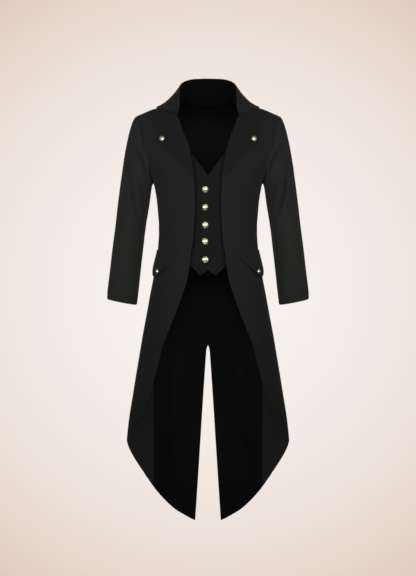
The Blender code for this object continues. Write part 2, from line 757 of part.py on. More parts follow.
def outline(points, parts):
    """Points at even shares along an outline of X and Z pairs."""
    corners = np.array(points, float)
    run = np.concatenate(([0.0], np.cumsum(np.linalg.norm(np.diff(corners, axis=0), axis=1))))
    x_of = Curve(list(zip(run, corners[:, 0])))
    z_of = Curve(list(zip(run, corners[:, 1])))
    at = np.linspace(0.0, run[-1], parts + 1)
    return np.stack((x_of(at), z_of(at)), axis=1)


def lapel_plan(edge):
    """Rows of X and Z pairs over the lapel, from the front's own edge to the lapel's."""
    outer = np.concatenate((outline(LAPEL_OUTER_EDGE, LAPEL_OUTER_ROWS),
                            outline(LAPEL_LOWER_EDGE, LAPEL_LOWER_ROWS)[1:]))
    count = len(outer)
    first_z, last_z = LAPEL_TOP_EDGE[0][1], LAPEL_LOWER_EDGE[-1][1]
    corners = [z for z in edge[::-1, 2] if last_z + LAPEL_ROW_SPACE < z < first_z]
    corners = [first_z, *corners, last_z]
    roll_z = np.interp(np.linspace(0.0, len(corners) - 1, count), range(len(corners)), corners)
    roll_x = np.interp(roll_z, edge[:, 2], edge[:, 0])
    top = outline(LAPEL_TOP_EDGE, LAPEL_COLUMNS)
    shares = np.linspace(0.0, 1.0, LAPEL_COLUMNS + 1)
    rows = []
    for index in range(count):
        start = np.array((roll_x[index], roll_z[index]))
        straight = start + np.outer(shares, outer[index] - start)
        first = np.array((roll_x[0], roll_z[0]))
        bow = top - (first + np.outer(shares, outer[0] - first))
        bow[0] = 0.0
        fade = max(1 - index / LAPEL_OUTER_ROWS, 0.0) ** 1.5
        rows.append(straight + fade * bow)
    return np.array(rows)


def make_lapels(front):
    """Lapels: a wall that turns round the roll line and lies back on the front."""
    edge = front[-len(UPPER_LEVELS):, 0]
    plan = lapel_plan(edge)
    roll = np.array([[np.interp(row[0][1], edge[:, 2], column) for column in edge.T]
                     for row in plan])
    along_roll = unit(np.gradient(roll, axis=0))
    centre_rows, out_rows = [], []
    for row, start, along in zip(plan, roll, along_roll):
        points, normals = [], []
        for x, z in row:
            level = level_at(x, z)
            points.append(lifted_front(x, level))
            normals.append(surface_normal(x, level, True))
        points, normals = np.array(points), np.array(normals)
        points[0] = start
        beyond = unit(np.cross(along, normals[0]))
        beyond = -beyond if np.dot(beyond, points[1] - start) > 0 else beyond
        distance = np.linalg.norm(points - points[0], axis=1)
        roll_seat = -CLOTH / 2 + 2 * LAPEL_ROLL_RADIUS
        top = float(ease((row[-1][1] - 2 * LAPEL_TOP_SEAT_LEVEL) / -LAPEL_TOP_SEAT_LEVEL))
        seat = LAPEL_SEAT + LAPEL_TOP_SEAT * top + CLOTH / 2
        height = seat + (roll_seat - seat) * (1 - ease(distance / LAPEL_ROLL_EASE))
        flat = points + height[:, None] * normals
        flat[0] = points[0] + LAPEL_SEAM_GAP * beyond + roll_seat * normals[0]
        centre = flat[0] - LAPEL_ROLL_RADIUS * normals[0]
        curl, curl_out = [], []
        for step in range(LAPEL_ROLL_STEPS):
            angle = math.pi * (step / LAPEL_ROLL_STEPS) - math.pi / 2
            way = math.cos(angle) * beyond + math.sin(angle) * normals[0]
            curl.append(centre + LAPEL_ROLL_RADIUS * way)
            curl_out.append(way)
        centre_rows.append(np.concatenate((curl, flat)))
        out_rows.append(np.concatenate((curl_out, normals)))
    middle, out = np.array(centre_rows), np.array(out_rows)
    pair("lapel", middle + CLOTH / 2 * out, middle - CLOTH / 2 * out, "outer_cloth")


def waistcoat_hem(x):
    """Height of the waistcoat's hem, with a point on each side of the middle."""
    point_x, point_z = WAISTCOAT_POINT
    if abs(x) < point_x:
        return WAISTCOAT_NOTCH_LEVEL + (point_z - WAISTCOAT_NOTCH_LEVEL) * abs(x) / point_x
    return point_z + WAISTCOAT_HEM_SLOPE * (abs(x) - point_x)


def waistcoat_top(x):
    """Height of the waistcoat's V neckline."""
    return WAISTCOAT_V_LEVEL + WAISTCOAT_V_SLOPE * abs(x)


def waistcoat_panel(columns, is_over):
    """Outer face and normals of a waistcoat panel over the given distances from the middle."""
    rows, normals = [], []
    for share in np.linspace(0.0, 1.0, WAISTCOAT_ROWS + 1):
        row, row_normals = [], []
        for x in columns:
            level = waistcoat_hem(x) + (waistcoat_top(x) - waistcoat_hem(x)) * share
            seat = WAISTCOAT_SEAT
            if not is_over:
                past = (abs(min(x, 0.0)) - WAISTCOAT_UNDERLAY_END) / WAISTCOAT_UNDERLAY_FADE
                seat += WAISTCOAT_UNDERLAY * float(1 - ease(past))
            normal = surface_normal(x, level, True)
            row.append(skin(x, level, True) - seat * normal)
            row_normals.append(normal)
        rows.append(row)
        normals.append(row_normals)
    return np.array(rows), np.array(normals)


def make_waistcoat():
    """Two waistcoat panels; the wearer's left laps over the right."""
    panels = (("vest_left", WAISTCOAT_OVER, True), ("vest_right", WAISTCOAT_UNDER, False))
    for name, columns, is_over in panels:
        outer, out = waistcoat_panel(columns, is_over)
        wall(name, outer, outer - WAISTCOAT_CLOTH * out, "outer_cloth")


def flap_height(distance):
    """Height of the flap at a distance from its point along the hip."""
    past = max(abs(distance) - FLAP_TIP_FLAT, 0.0) / (FLAP_HALF_LENGTH - FLAP_TIP_FLAT)
    return FLAP_TIP_HEIGHT - (FLAP_TIP_HEIGHT - FLAP_END_HEIGHT) * past


def angle_after(distance, level):
    """Angle round the body at a distance along the hip from the flap's point."""
    angles = np.linspace(FLAP_TIP_ANGLE - 50, FLAP_TIP_ANGLE + 50, 101)
    points = np.array([skin_round(angle, level) for angle in angles])
    run = np.concatenate(([0.0], np.cumsum(np.linalg.norm(np.diff(points, axis=0), axis=1))))
    middle = np.interp(FLAP_TIP_ANGLE, angles, run)
    return float(np.interp(middle + distance, run, angles))


def round_normal(angle, level):
    """Direction out of the body's surface at an angle round it."""
    across = skin_round(angle + 0.5, level) - skin_round(angle - 0.5, level)
    upward = skin_round(angle, level + 1.0) - skin_round(angle, level - 1.0)
    return unit(np.cross(across, upward))


def flap_point(distance, drop):
    """Point of the flap's inner face and its normal, a drop below the flap's top."""
    level = FLAP_TOP_LEVEL - drop
    angle = angle_after(distance, level)
    normal = round_normal(angle, level)
    lift = FLAP_SEAT + FLAP_FLARE * (drop / FLAP_TIP_HEIGHT) ** 1.3
    return skin_round(angle, level) + lift * normal, normal


def make_flaps():
    """Pointed pocket flaps that wrap round the hips."""
    rows, out = [], []
    for share in np.linspace(0.0, 1.0, FLAP_ROWS + 1):
        row = [flap_point(part * FLAP_HALF_LENGTH, share * flap_height(part * FLAP_HALF_LENGTH))
               for part in FLAP_COLUMNS]
        rows.append([point for point, _ in row])
        out.append([normal for _, normal in row])
    inner, out = np.array(rows), np.array(out)
    pair("flap", inner + CLOTH * out, inner, "outer_cloth")


def button_profile(diameter):
    """Half section of a domed button, from the middle of its top down to its flat back."""
    radius = diameter / 2
    swell = BUTTON_DOME - BUTTON_RIM
    dome = [(radius * BUTTON_DOME_REACH * math.sin(angle), BUTTON_RIM + swell * math.cos(angle))
            for angle in np.radians(BUTTON_DOME_ANGLES)]
    return dome + [(radius * reach, BUTTON_RIM * height) for reach, height in BUTTON_EDGE]


def make_button(name, diameter, seat, facing):
    """Turned button whose back rests just above a point of the cloth."""
    mesh = bpy.data.meshes.new(name)
    profile = [(x * MM, 0.0, z * MM) for x, z in button_profile(diameter)]
    mesh.from_pydata(profile, [(index, index + 1) for index in range(len(profile) - 1)], [])
    mesh.materials.append(material("pale_brass"))
    made = bpy.data.objects.new(name, mesh)
    COAT.objects.link(made)
    turned = made.modifiers.new("turned", "SCREW")
    turned.axis = "Z"
    turned.angle = math.tau
    turned.steps = BUTTON_STEPS
    turned.render_steps = BUTTON_STEPS
    turned.use_merge_vertices = True
    turned.merge_threshold = 0.00005
    place = seat + BUTTON_SEAT * facing
    aim = Vector(facing).to_track_quat("Z", "Y").to_matrix().to_4x4()
    made.matrix_world = Matrix.Translation(Vector(place * MM)) @ aim


def make_buttons():
    """Five waistcoat buttons, one near each lapel's tip and one on each flap's point."""
    for number, level in enumerate(WAISTCOAT_BUTTON_LEVELS, start=1):
        facing = surface_normal(WAISTCOAT_BUTTON_X, level, True)
        seat = skin(WAISTCOAT_BUTTON_X, level, True) - WAISTCOAT_SEAT * facing
        make_button(f"button_vest_{number}", WAISTCOAT_BUTTON_DIAMETER, seat, facing)
    diameter, x, z = LAPEL_BUTTON
    level = level_at(x, z)
    facing = surface_normal(x, level, True)
    seat = lifted_front(x, level) + (LAPEL_SEAT + CLOTH) * facing
    place_pair("button_lapel", diameter, seat, facing)
    diameter, x, z = FLAP_BUTTON
    drop = FLAP_TOP_LEVEL - z
    distances = np.linspace(-20.0, 20.0, 81)
    found = [flap_point(distance, drop) for distance in distances]
    faces = [point + CLOTH * normal for point, normal in found]
    best = int(np.argmin([abs(face[0] - x) for face in faces]))
    place_pair("button_flap", diameter, faces[best], found[best][1])


def place_pair(stem, diameter, seat, facing):
    """The same button on both sides of the wearer."""
    flip = np.array((-1.0, 1.0, 1.0))
    make_button(stem + "_left", diameter, seat, facing)
    make_button(stem + "_right", diameter, seat * flip, facing * flip)


for old in list(bpy.data.objects):
    bpy.data.objects.remove(old, do_unlink=True)
COAT = bpy.data.collections.new("tailcoat")
bpy.context.scene.collection.children.link(COAT)

body = make_body()
make_lining(body[2], body[3])
make_sleeves(*body)
make_collar(*body)
make_lapels(body[0])
make_waistcoat()
make_flaps()
make_buttons()
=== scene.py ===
"""Looks of a long black tailcoat, made as fine cloth over the fixed solids of its frame.

Every cloth piece is a thin closed shell between an outer and an inner grid of points. The grids lie
on the same sections of the body as the solids, with finer rows and columns, and soft creases are
added to them. Points are in millimetres until a mesh is made. Left and right are the
wearer's: the left is on +X, the front faces -Y and +Z is up. Levels are heights before the slope of
the shoulders is added.
"""
import math

import bmesh
import bpy
import numpy as np
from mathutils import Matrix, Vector


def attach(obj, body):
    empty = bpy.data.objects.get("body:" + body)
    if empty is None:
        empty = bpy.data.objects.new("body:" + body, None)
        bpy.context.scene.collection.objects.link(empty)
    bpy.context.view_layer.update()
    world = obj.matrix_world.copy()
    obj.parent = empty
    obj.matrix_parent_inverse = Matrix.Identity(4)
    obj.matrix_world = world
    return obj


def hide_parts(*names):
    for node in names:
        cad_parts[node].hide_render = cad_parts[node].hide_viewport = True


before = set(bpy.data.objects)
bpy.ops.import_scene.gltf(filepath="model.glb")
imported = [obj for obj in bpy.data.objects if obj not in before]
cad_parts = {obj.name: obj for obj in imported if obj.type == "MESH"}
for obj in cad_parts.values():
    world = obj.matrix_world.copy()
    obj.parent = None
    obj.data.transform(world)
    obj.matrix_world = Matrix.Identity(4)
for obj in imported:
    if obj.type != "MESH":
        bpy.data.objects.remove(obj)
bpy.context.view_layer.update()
MM = 0.001
FLIP = np.array((-1.0, 1.0, 1.0))
SIDES = ("_left", "_right")

# Body of the coat
NECK_POINT_X = 79.0
SHOULDER_POINT_X = 225.0
SHOULDER_DROP = 50.0
SHOULDER_CURVE = 1.1
ARMPIT_LEVEL = -262.0
HIP_LEVEL = -560.0
SECTION_POWER = 2.3
SECTION_CENTRE_Y = 5.0
NAPE_DIP = 14.0
ARMHOLE_REACH = 0.6
FRONT_TOP_POWER = 1.6
BACK_TOP_POWER = 3.4
BACK_TOP_POWER_FALL = 1.2
BACK_TOP_POWER_WIDTH = 150.0
ARMPIT_SOFT_ROWS = 9.0
ARMPIT_SOFT_COLUMNS = 7.0
ARMPIT_SOFT_PASSES = 60

# Cloth and seams
CLOTH = 2.0
LINING = 1.0
LINING_SEAT = 0.6
LINING_SLACK = 1.2
LINING_CENTRE_GAP = 0.12
LINING_LAP = 1.6
LINING_LAP_RISE = 0.6
LINING_TROUGH_WIDTH = 16.0
LINING_WAVE_UP = 43.0
LINING_WAVE_ACROSS = 19.0
VENT_CLOSING = 20.0
LINING_CLOSING = 8.0
# Rows: axis, whether at its end, how far the lining stops short of that border
LINING_MARGINS = ((0, False, 6.0), (1, True, 2.5), (0, True, 2.0), (1, False, 1.2))
WAISTCOAT_CLOTH = 1.6
COLLAR_CLOTH = 2.2
SEAM_GAP = 0.06
EDGE_LIFT = 3.6
EDGE_LIFT_WIDTH = 60.0
EDGE_LIFT_END = -600.0
EDGE_LIFT_FADE = 90.0

# Cut-away hem, side seam and vent
HEM_CORNER_LEVEL = -1072.0
SEAM_FOOT_LEVEL = -1230.0
TAIL_TIP_LEVEL = -1338.0
VENT_TOP_LEVEL = -782.0
ROLL_TOP_LEVEL = -48.0

# Columns: level, half width of the body seen from the front
HALF_WIDTHS = (
    (-1340, 298), (-1180, 272), (-1110, 259), (-1072, 256), (-1011, 249.3), (-853, 226),
    (-664, 192.4), (-569, 173.5), (-506, 164), (-474, 158.5), (-442, 156), (-411, 155),
    (-363, 157.4), (-316, 161.5), (-284, 166.5), (-268, 170), (-262, 171.5),
)
# Columns: level, depth of the front and of the back from the section's centre
DEPTHS = (
    (-1340, 120, 146), (-900, 117, 131), (-700, 113, 120), (-560, 109, 107), (-480, 105, 88),
    (-411, 103, 78), (-340, 110.5, 96), (-290, 116.5, 112), (-262, 118, 117),
)
# Columns: level, half width at the armhole seam
ARMHOLE_WIDTHS = (
    (-262, 171.5), (-249, 177), (-204, 186), (-157, 195.6), (-135, 202), (-69.5, 212),
    (-13, 224), (0, 225),
)
# Columns: level, distance of the front neckline from the middle
NECKLINE = ((-48, 99), (-30, 91), (-14, 83.5), (0, 79))
# Columns: level, distance of the front edge from the middle, from the hem corner to the roll
FRONT_EDGE = (
    (-1072, 256), (-1042, 247.5), (-1017, 232.8), (-990, 210.7), (-956, 194), (-902, 175),
    (-842, 159), (-782, 145), (-711, 117.5), (-634, 87.5), (-574, 67.5), (-522, 57.5),
    (-478, 52.5), (-442, 47), (-403, 44.5), (-372, 42.5), (-328, 42), (-287, 42.5),
    (-250, 44.5), (-228, 48.5), (-199, 52.8), (-162, 59.4), (-141.5, 65), (-107.5, 78.7),
    (-48, 99),
)
# Columns: level, distance of the side seam from the middle, on the back half
SIDE_SEAM = (
    (-1230, 174), (-853, 174), (-760, 172.5), (-664, 170), (-569, 161), (-474, 152),
    (-411, 150.5), (-363, 155), (-316, 160.8), (-284, 166.3), (-262, 171.5),
)
# Columns: level, distance of the tail's hem from the middle
TAIL_HEM = (
    (-1338, 41.5), (-1332, 55), (-1322, 73), (-1306.5, 99), (-1290, 119.5), (-1273, 137),
    (-1240, 166), (-1208, 189), (-1175, 208.5), (-1143, 227), (-1109, 244), (-1090, 251.5),
    (-1072, 256.3),
)
# Columns: level, half width of the open centre vent
VENT = (
    (-1338, 41), (-1210, 32.5), (-1081, 24.3), (-953, 16.2), (-809, 6.4), (-793, 5.2),
    (-786, 3.9), (-782.5, 1.8), (-782, 0.15),
)

# Levels above the armpit that the solids' rows follow, and the fine rows and columns here
UPPER_LEVELS = (-262, -258, -247, -215, -180, -145, -110, -78, -48, -26, -12, -4, 0)
FINER = 5
TAIL_ROWS = 130
HIP_ROWS = 60
PANEL_COLUMNS = 61
ARMPIT_ROW = TAIL_ROWS + HIP_ROWS
UPPER_ROWS = FINER * (len(UPPER_LEVELS) - 1) + 1
MIDDLE_COLUMN = PANEL_COLUMNS // 2
# Lining shows inside above this row, and on the fronts outwards of this column
LINED_ROW = TAIL_ROWS - 6
LINED_COLUMN = 18

# Sleeve. Columns: level, outer and inner edge seen from the front, half depth, centre in Y
SLEEVE_RINGS = (
    (-300, 281, 181, 68, 8), (-340, 286, 187, 66.5, 9), (-379, 290.5, 193.4, 65, 9),
    (-420, 295.4, 199.2, 63, 8), (-465, 300.6, 204.6, 60.5, 4), (-510, 305.6, 209.6, 57, -4),
    (-555, 310.5, 214.6, 53.5, -15), (-595, 314.8, 219, 50.5, -27), (-622, 317.4, 221.8, 49, -35),
    (-638.5, 317.6, 223.6, 48, -40),
)
SLEEVE_ROWS = 84
SLEEVE_FACING_ROWS = 12
CUFF_TILT = 8.5
CROWN_ROWS = 44
CROWN_RUCK = 0.3
CROWN_RUCKS = 26
CROWN_RUCK_PLACE = 9.0
CROWN_RUCK_WIDTH = 7.0
CROWN_PACKING = 1.25
SLEEVE_BLEND = 14.0
SLEEVE_FADE = 9.0
ARMHOLE_TUCK = 1.2
# Columns: level, depth and width of the trough where the sleeve is set in
ARMHOLE_GROOVE = (
    (-262, 0.8, 3.0), (-246, 3.6, 4.2), (-205, 4.0, 4.4), (-180, 2.8, 3.4), (-150, 3.0, 2.2),
    (-60, 2.6, 2.0), (-30, 1.6, 2.0),
)
CUFF_STITCH = 15.0
CUFF_STITCH_DIP = 0.9
CUFF_ROUND = 7.0
CUFF_TURN = 3.4
CROWN_TANGENT_TOP = np.array((85.0, 0.0, -60.0))
CROWN_TANGENT_ARMPIT = np.array((18.0, 0.0, -4.0))
CROWN_FULLNESS = 24.0
FRONT_SLEEVE_SEAM = 9 * FINER
BACK_SLEEVE_SEAM = 17 * FINER

# Collar. Columns: share of the neckline, then the roll line and the leaf edge as X, Y, Z
COLLAR_GUIDES = (
    (0.00, 0, 84, 72.5, 0, 110, -30),
    (0.20, 38, 77, 71, 58, 103, -32),
    (0.40, 67.5, 50, 63.5, 112, 78, -33),
    (0.55, 85.5, 20, 48.5, 143, 47, -30),
    (0.68, 90, -6, 30, 157, 22, -24),
    (0.82, 90.5, -28, 3, 162, 3, -21),
    (0.92, 91.5, -42, -24, 162, -8, -22.5),
    (1.00, 95.5, -53, -43, 161, -15, -25.5),
)
COLLAR_STATIONS = 64
COLLAR_ROLL_RADIUS = 3.2
COLLAR_ARC_STEPS = 10
COLLAR_STAND_STEPS = 14
COLLAR_FALL_STEPS = 26
COLLAR_END_GAP = 1.5
COLLAR_SEAT = 0.7
COLLAR_LEAF_TURN = 0.35
COLLAR_STAND_BOW = 0.8
COLLAR_WAVE = 0.5
COLLAR_WAVE_ACROSS = 27.0
COLLAR_WAVE_UP = 33.0
COLLAR_ROLL_LEAN = 0.5

# Lapel. Columns: X and Z seen from the front
LAPEL_TOP_EDGE = ((97, -54), (112, -41), (132, -36), (155, -37), (176, -39.5))
LAPEL_OUTER_EDGE = (
    (176, -39.5), (170.5, -64), (164.5, -82.5), (159.6, -101), (160, -114), (166, -131),
)
LAPEL_LOWER_EDGE = (
    (166, -131), (152, -146), (140.5, -155), (115, -178), (95, -196), (73, -222.5),
    (49.5, -247),
)
LAPEL_OUTER_ROWS = 28
LAPEL_LOWER_ROWS = 40
LAPEL_COLUMNS = 36
LAPEL_SEAM_GAP = 0.4
LAPEL_SEAT = 0.9
LAPEL_TOP_SEAT = 1.1
LAPEL_TOP_SEAT_LEVEL = -60.0
LAPEL_ROLL_RADIUS = 2.0
LAPEL_ROLL_STEPS = 8
LAPEL_ROLL_EASE = 28.0
LAPEL_PUFF = 0.5
LAPEL_CURL = 2.4
LAPEL_CURL_WIDTH = 13.0
LAPEL_CURL_TOP = -60.0
LAPEL_CURL_FADE = 40.0
LAPEL_CURL_REACH = 30.0
LAPEL_PUFF_WIDTH = 22.0
LAPEL_CREASE_REACH = 18.0
LAPEL_CREASE_LIMIT = 0.7
LAPEL_BOW_FADE = 1.5

# Mock waistcoat
WAISTCOAT_V_LEVEL = -242.5
WAISTCOAT_HOLLOW = 8.0
WAISTCOAT_HOLLOW_WIDTH = 28.0
WAISTCOAT_LAP_WIDTH = 5.0
WAISTCOAT_LAP_SINK = 0.5
WAISTCOAT_LAP_THINNING = 0.6
WAISTCOAT_HEM_FADE = 20.0
WAISTCOAT_V_SLOPE = 1.36
WAISTCOAT_POINT = (24.0, -554.5)
WAISTCOAT_NOTCH_LEVEL = -536.5
WAISTCOAT_HEM_SLOPE = 0.98
WAISTCOAT_SEAT = 2.3
WAISTCOAT_UNDERLAY = 2.1
WAISTCOAT_UNDERLAY_END = 34.0
WAISTCOAT_UNDERLAY_FADE = 40.0
WAISTCOAT_ROWS = 96
WAISTCOAT_COLUMNS_EACH = 6
WAISTCOAT_OVER = (-20, -10, 0, 12, 24, 38, 52, 72, 92)
WAISTCOAT_UNDER = (16, 8, 0, -12, -24, -38, -52, -72, -92)

# Pocket flap, measured along the hip from its point
FLAP_TOP_LEVEL = -474.0
FLAP_TIP_ANGLE = 74.0
FLAP_HALF_LENGTH = 68.0
FLAP_END_HEIGHT = 29.0
FLAP_TIP_HEIGHT = 84.0
FLAP_TIP_FLAT = 9.0
FLAP_SEAT = 0.9
FLAP_FLARE = 7.0
FLAP_FLARE_POWER = 1.3
FLAP_REACH_ANGLE = 50.0
FLAP_ROWS = 22
FLAP_COLUMNS = 41

# Buttons. The lapel's and the flap's: diameter, X and Z seen from the front
WAISTCOAT_BUTTON_LEVELS = (-286.0, -342.0, -397.5, -448.0, -505.0)
WAISTCOAT_BUTTON_X = -9.0
WAISTCOAT_BUTTON_DIAMETER = 18.5
LAPEL_BUTTON = (16.5, 144.0, -125.5)
FLAP_BUTTON = (15.8, 161.0, -542.5)
BUTTON_SEAT = 0.45
BUTTON_STEPS = 48
# Columns: share of the button's radius, height in mm, from the dome's top to the flat back
BUTTON_PROFILE = (
    (0.0, 4.75), (0.14, 4.7), (0.3, 4.48), (0.46, 4.06), (0.6, 3.48), (0.72, 2.82),
    (0.81, 2.2), (0.875, 1.62), (0.9, 1.3), (0.915, 1.12), (0.935, 1.1), (0.96, 1.12),
    (0.985, 0.95), (1.0, 0.6), (0.985, 0.25), (0.93, 0.05), (0.3, 0.0), (0.0, 0.0),
)

# Sewing
HEM_STITCH = 6.0
STITCH_PITCH = 3.4
STITCH_LENGTH = 2.5
STITCH_RADIUS = 0.24
STITCH_SINK = 0.1
# Corners of each face of a stitch: its first end, four points round its middle, its last end
STITCH_FACES = (
    (0, 1, 2), (5, 2, 1), (0, 2, 3), (5, 3, 2), (0, 3, 4), (5, 4, 3), (0, 4, 1), (5, 1, 4),
)
SEAM_DIP = 0.9
SEAM_DIP_WIDTH = 2.6
STITCH_DIP = 0.3
STITCH_DIP_WIDTH = 1.6
TURNED_DIP_WIDTH = 1.8
PUCKER = 0.16
PUCKER_WAVE = 11.0
PUCKER_DRIFT = 2.2
PUCKER_DRIFT_WAVE = 37.0
PUCKER_FADE = 7.0
PUCKER_SEAM_WIDTH = 1.5
SEAM_END_ROWS = 4.0
CREASE_CLEAR = 1.0
CREASE_FADE = 16.0
EDGE_BULGE = 0.5
SEAM_BULGE = 0.1
# Width of the band along free edges that bulges and turns paler: rubbed wear with a painted sheen
EDGE_WEAR_AND_SHEEN_WIDTH = 5.0
SLEEVE_SEAM_DIP = 0.25
EDGE_ANGLE = 50.0
SWELL = 0.8
SWELLS = 7
SWELL_SEED = 7
SWELL_RATES = (0.018, 0.05)
SWELL_HEIGHTS = (0.4, 1.0)
SHOULDER_PAD = 2.4
SHOULDER_PAD_X = 178.0
SHOULDER_PAD_REACH = 26.0
SHOULDER_PAD_FOOT = -70.0
SHOULDER_PAD_FADE = 45.0
FRONT_SEED = 11
BACK_SEED = 21
SLEEVE_FRONT_SEED = 31
SLEEVE_BACK_SEED = 32
LAPEL_SEED = 41

# Creases. Each row: depth in mm (a ridge is above 0), width in mm, then its X and Z pairs.
# On one side each has a low bank the other way: its height and, in widths, place and width
CREASE_BANK, CREASE_BANK_PLACE, CREASE_BANK_WIDTH = 0.35, 1.7, 1.2
CREASE_POINTS = 28
CREASE_SHIFT = (4.0, 6.0)
CREASE_DEPTHS = (0.75, 1.15)
CREASE_WIDTHS = (0.9, 1.2)
SLEEVE_CREASE_SCALE = 2.8
SLEEVE_FRONT_CREASES = (
    (-3.5, 6.4, (246, -142), (232, -158), (217, -170), (204.5, -188), (193, -210), (186, -232)),
    (-1.7, 3.2, (222, -166), (209, -182), (197, -202), (188, -226)),
    (2.6, 10.0, (238, -196), (228, -242), (222, -290), (214, -338)),
    (-1.0, 4.0, (248, -250), (243, -284), (235, -317), (223, -346), (210, -370)),
    (-3.9, 6.5, (254, -200), (249, -246), (243.5, -282), (235, -317), (222, -348), (213, -368),
     (198, -386)),
    (-0.6, 10.0, (264, -260), (258, -330), (248, -392)),
    (-0.7, 11.0, (222, -428), (246, -440), (268, -462)),
    (0.6, 12.0, (232, -452), (254, -468), (276, -492)),
    (-0.5, 10.0, (226, -512), (250, -530), (276, -548)),
)
SLEEVE_BACK_CREASES = (
    (-3.6, 9.0, (240, -150), (222, -178), (204, -205), (186, -238)),
    (-2.8, 10.0, (262, -200), (254, -270), (240, -330), (220, -376)),
    (2.0, 14.0, (248, -210), (238, -280), (226, -340)),
    (-2.0, 11.0, (212, -402), (240, -418), (272, -424)),
    (-1.6, 10.0, (216, -446), (246, -456), (280, -448)),
    (-1.1, 12.0, (232, -520), (262, -534), (290, -526)),
)
FRONT_CREASES = (
    (-1.5, 10.0, (192, -180), (176, -206), (158, -232), (148, -262)),
    (-1.2, 9.0, (176, -236), (164, -262), (150, -292)),
    (-0.9, 12.0, (156, -380), (132, -392), (104, -388)),
    (-0.8, 11.0, (152, -418), (126, -424), (96, -440)),
    (0.9, 14.0, (154, -400), (130, -408), (104, -412)),
    (-2.4, 26.0, (168, -620), (182, -760), (206, -900), (226, -1010)),
    (1.6, 24.0, (140, -640), (158, -760), (186, -900), (212, -985)),
    (-1.5, 20.0, (104, -620), (124, -690), (150, -770), (166, -830)),
)
BACK_CREASES = (
    (-2.0, 12.0, (186, -178), (168, -205), (146, -236), (128, -262)),
    (-1.4, 11.0, (178, -214), (160, -244), (140, -282)),
    (-1.4, 13.0, (24, -372), (58, -384), (98, -378), (132, -390)),
    (-1.8, 12.0, (12, -412), (48, -420), (90, -412), (126, -424)),
    (1.2, 14.0, (20, -392), (60, -402), (104, -396)),
    (-1.3, 13.0, (40, -452), (76, -462), (112, -456)),
    (-4.2, 30.0, (128, -560), (134, -760), (142, -980), (150, -1200)),
    (3.2, 28.0, (98, -590), (100, -780), (104, -1000), (108, -1240)),
    (-3.4, 26.0, (66, -640), (66, -840), (70, -1060), (76, -1300)),
    (-1.4, 16.0, (60, -120), (64, -170), (58, -232)),
)
LAPEL_CREASES = (
    (-0.55, 7.0, (98, -52), (112, -62), (122, -69), (129, -84), (131, -104), (138, -122)),
    (1.5, 12.0, (104, -84), (110, -108), (112, -136)),
    (1.0, 10.0, (146, -60), (146, -84), (148, -104)),
)
WAISTCOAT_CREASES = (
    (-2.0, 6.5, (2, -300), (16, -332), (30, -372), (36, -404)),
    (1.9, 8.0, (14, -292), (24, -318), (36, -350)),
    (-1.0, 8.0, (-34, -316), (-26, -352), (-30, -392)),
    (-0.9, 8.0, (-36, -440), (-14, -470), (8, -482)),
    (-0.9, 9.0, (36, -452), (22, -480), (26, -520)),
)

# Cloths by look. Columns: record's slot, base colour and edge colour (rubbed wear with a painted
# sheen) as linear colours, roughness, sheen, pitch of the twill in metres, relief
CLOTHS = {
    "outer_suiting": ("outer_cloth", (0.0107, 0.0107, 0.0107), (0.0135, 0.0133, 0.0131),
                      0.88, 0.03, 0.0011, 0.5),
    # Painted light: lighter than the body's suiting to stand in for the stronger light on the
    # sleeves; the faint olive tint is the cloth's own
    "sleeve_suiting": ("sleeve_cloth", (0.0142, 0.0142, 0.0137), (0.0170, 0.0168, 0.0155),
                       0.88, 0.035, 0.0011, 0.5),
    # Painted shade: darker than the body's suiting to stand in for the shade on the waistcoat under
    # the coat's fronts
    "waistcoat_shaded_suiting": ("outer_cloth", (0.0070, 0.0070, 0.0069), (0.0090, 0.0089, 0.0087),
                          0.88, 0.03, 0.0011, 0.5),
    # Painted light: the turned-in suiting inside the fronts and tails, lighter than the outer
    # suiting to stand in for light falling there
    "turned_lit_suiting": ("outer_cloth", (0.0150, 0.0150, 0.0150), (0.0170, 0.0168, 0.0155),
                       0.88, 0.03, 0.0011, 0.5),
    # Painted shade: darker than the body's suiting to stand in for the shade under the collar on
    # the lapels
    "lapel_shaded_suiting": ("outer_cloth", (0.0080, 0.0080, 0.0080), (0.0112, 0.0110, 0.0108),
                       0.88, 0.03, 0.0011, 0.5),
    "black_lining": ("lining_cloth", (0.0015, 0.0015, 0.0016), (0.0032, 0.0032, 0.0036),
                     0.62, 0.0, 0.0007, 0.25),
    # Painted shade: near-black cloth on the collar's inner stand, standing in for the shade inside
    # the neck
    "collar_inside_shade": ("outer_cloth", (0.0010, 0.0010, 0.0011), (0.0010, 0.0010, 0.0011),
                      0.9, 0.0, 0.0007, 0.25),
    "black_thread": ("outer_cloth", (0.006, 0.006, 0.0063), (0.006, 0.006, 0.0063),
                     0.7, 0.02, 0.0006, 0.4),
}
TWILL_ANGLE = 62.0
DYE_VARIATION = 0.10
PALE_GOLD = (0.74, 0.66, 0.50)
DULL_GOLD = (0.58, 0.50, 0.38)

# Camera and light. The photo's frame is 416 by 576 pixels at 3.16 mm each
CAMERA_DISTANCE = 10.0
FRAME_HEIGHT = 1.820
FRAME_CENTRE_Z = -0.594
SENSOR_HEIGHT = 24.0
FLOOR_LEVEL = -1.62
FLOOR_RADIUS = 1.15
FLOOR_PAINT = (0.80, 0.76, 0.72)
BACKDROP_WAY = (0.0, 1.0, 0.0)
BACKDROP_REACH = 6.6
BACKDROP_MIDDLE = (0.925, 0.885, 0.855)
BACKDROP_EDGE = (0.745, 0.590, 0.500)
AMBIENT_ABOVE = (0.29, 0.285, 0.278)
AMBIENT_BELOW = (0.055, 0.054, 0.052)
AMBIENT_RISE = (-0.35, 0.5)
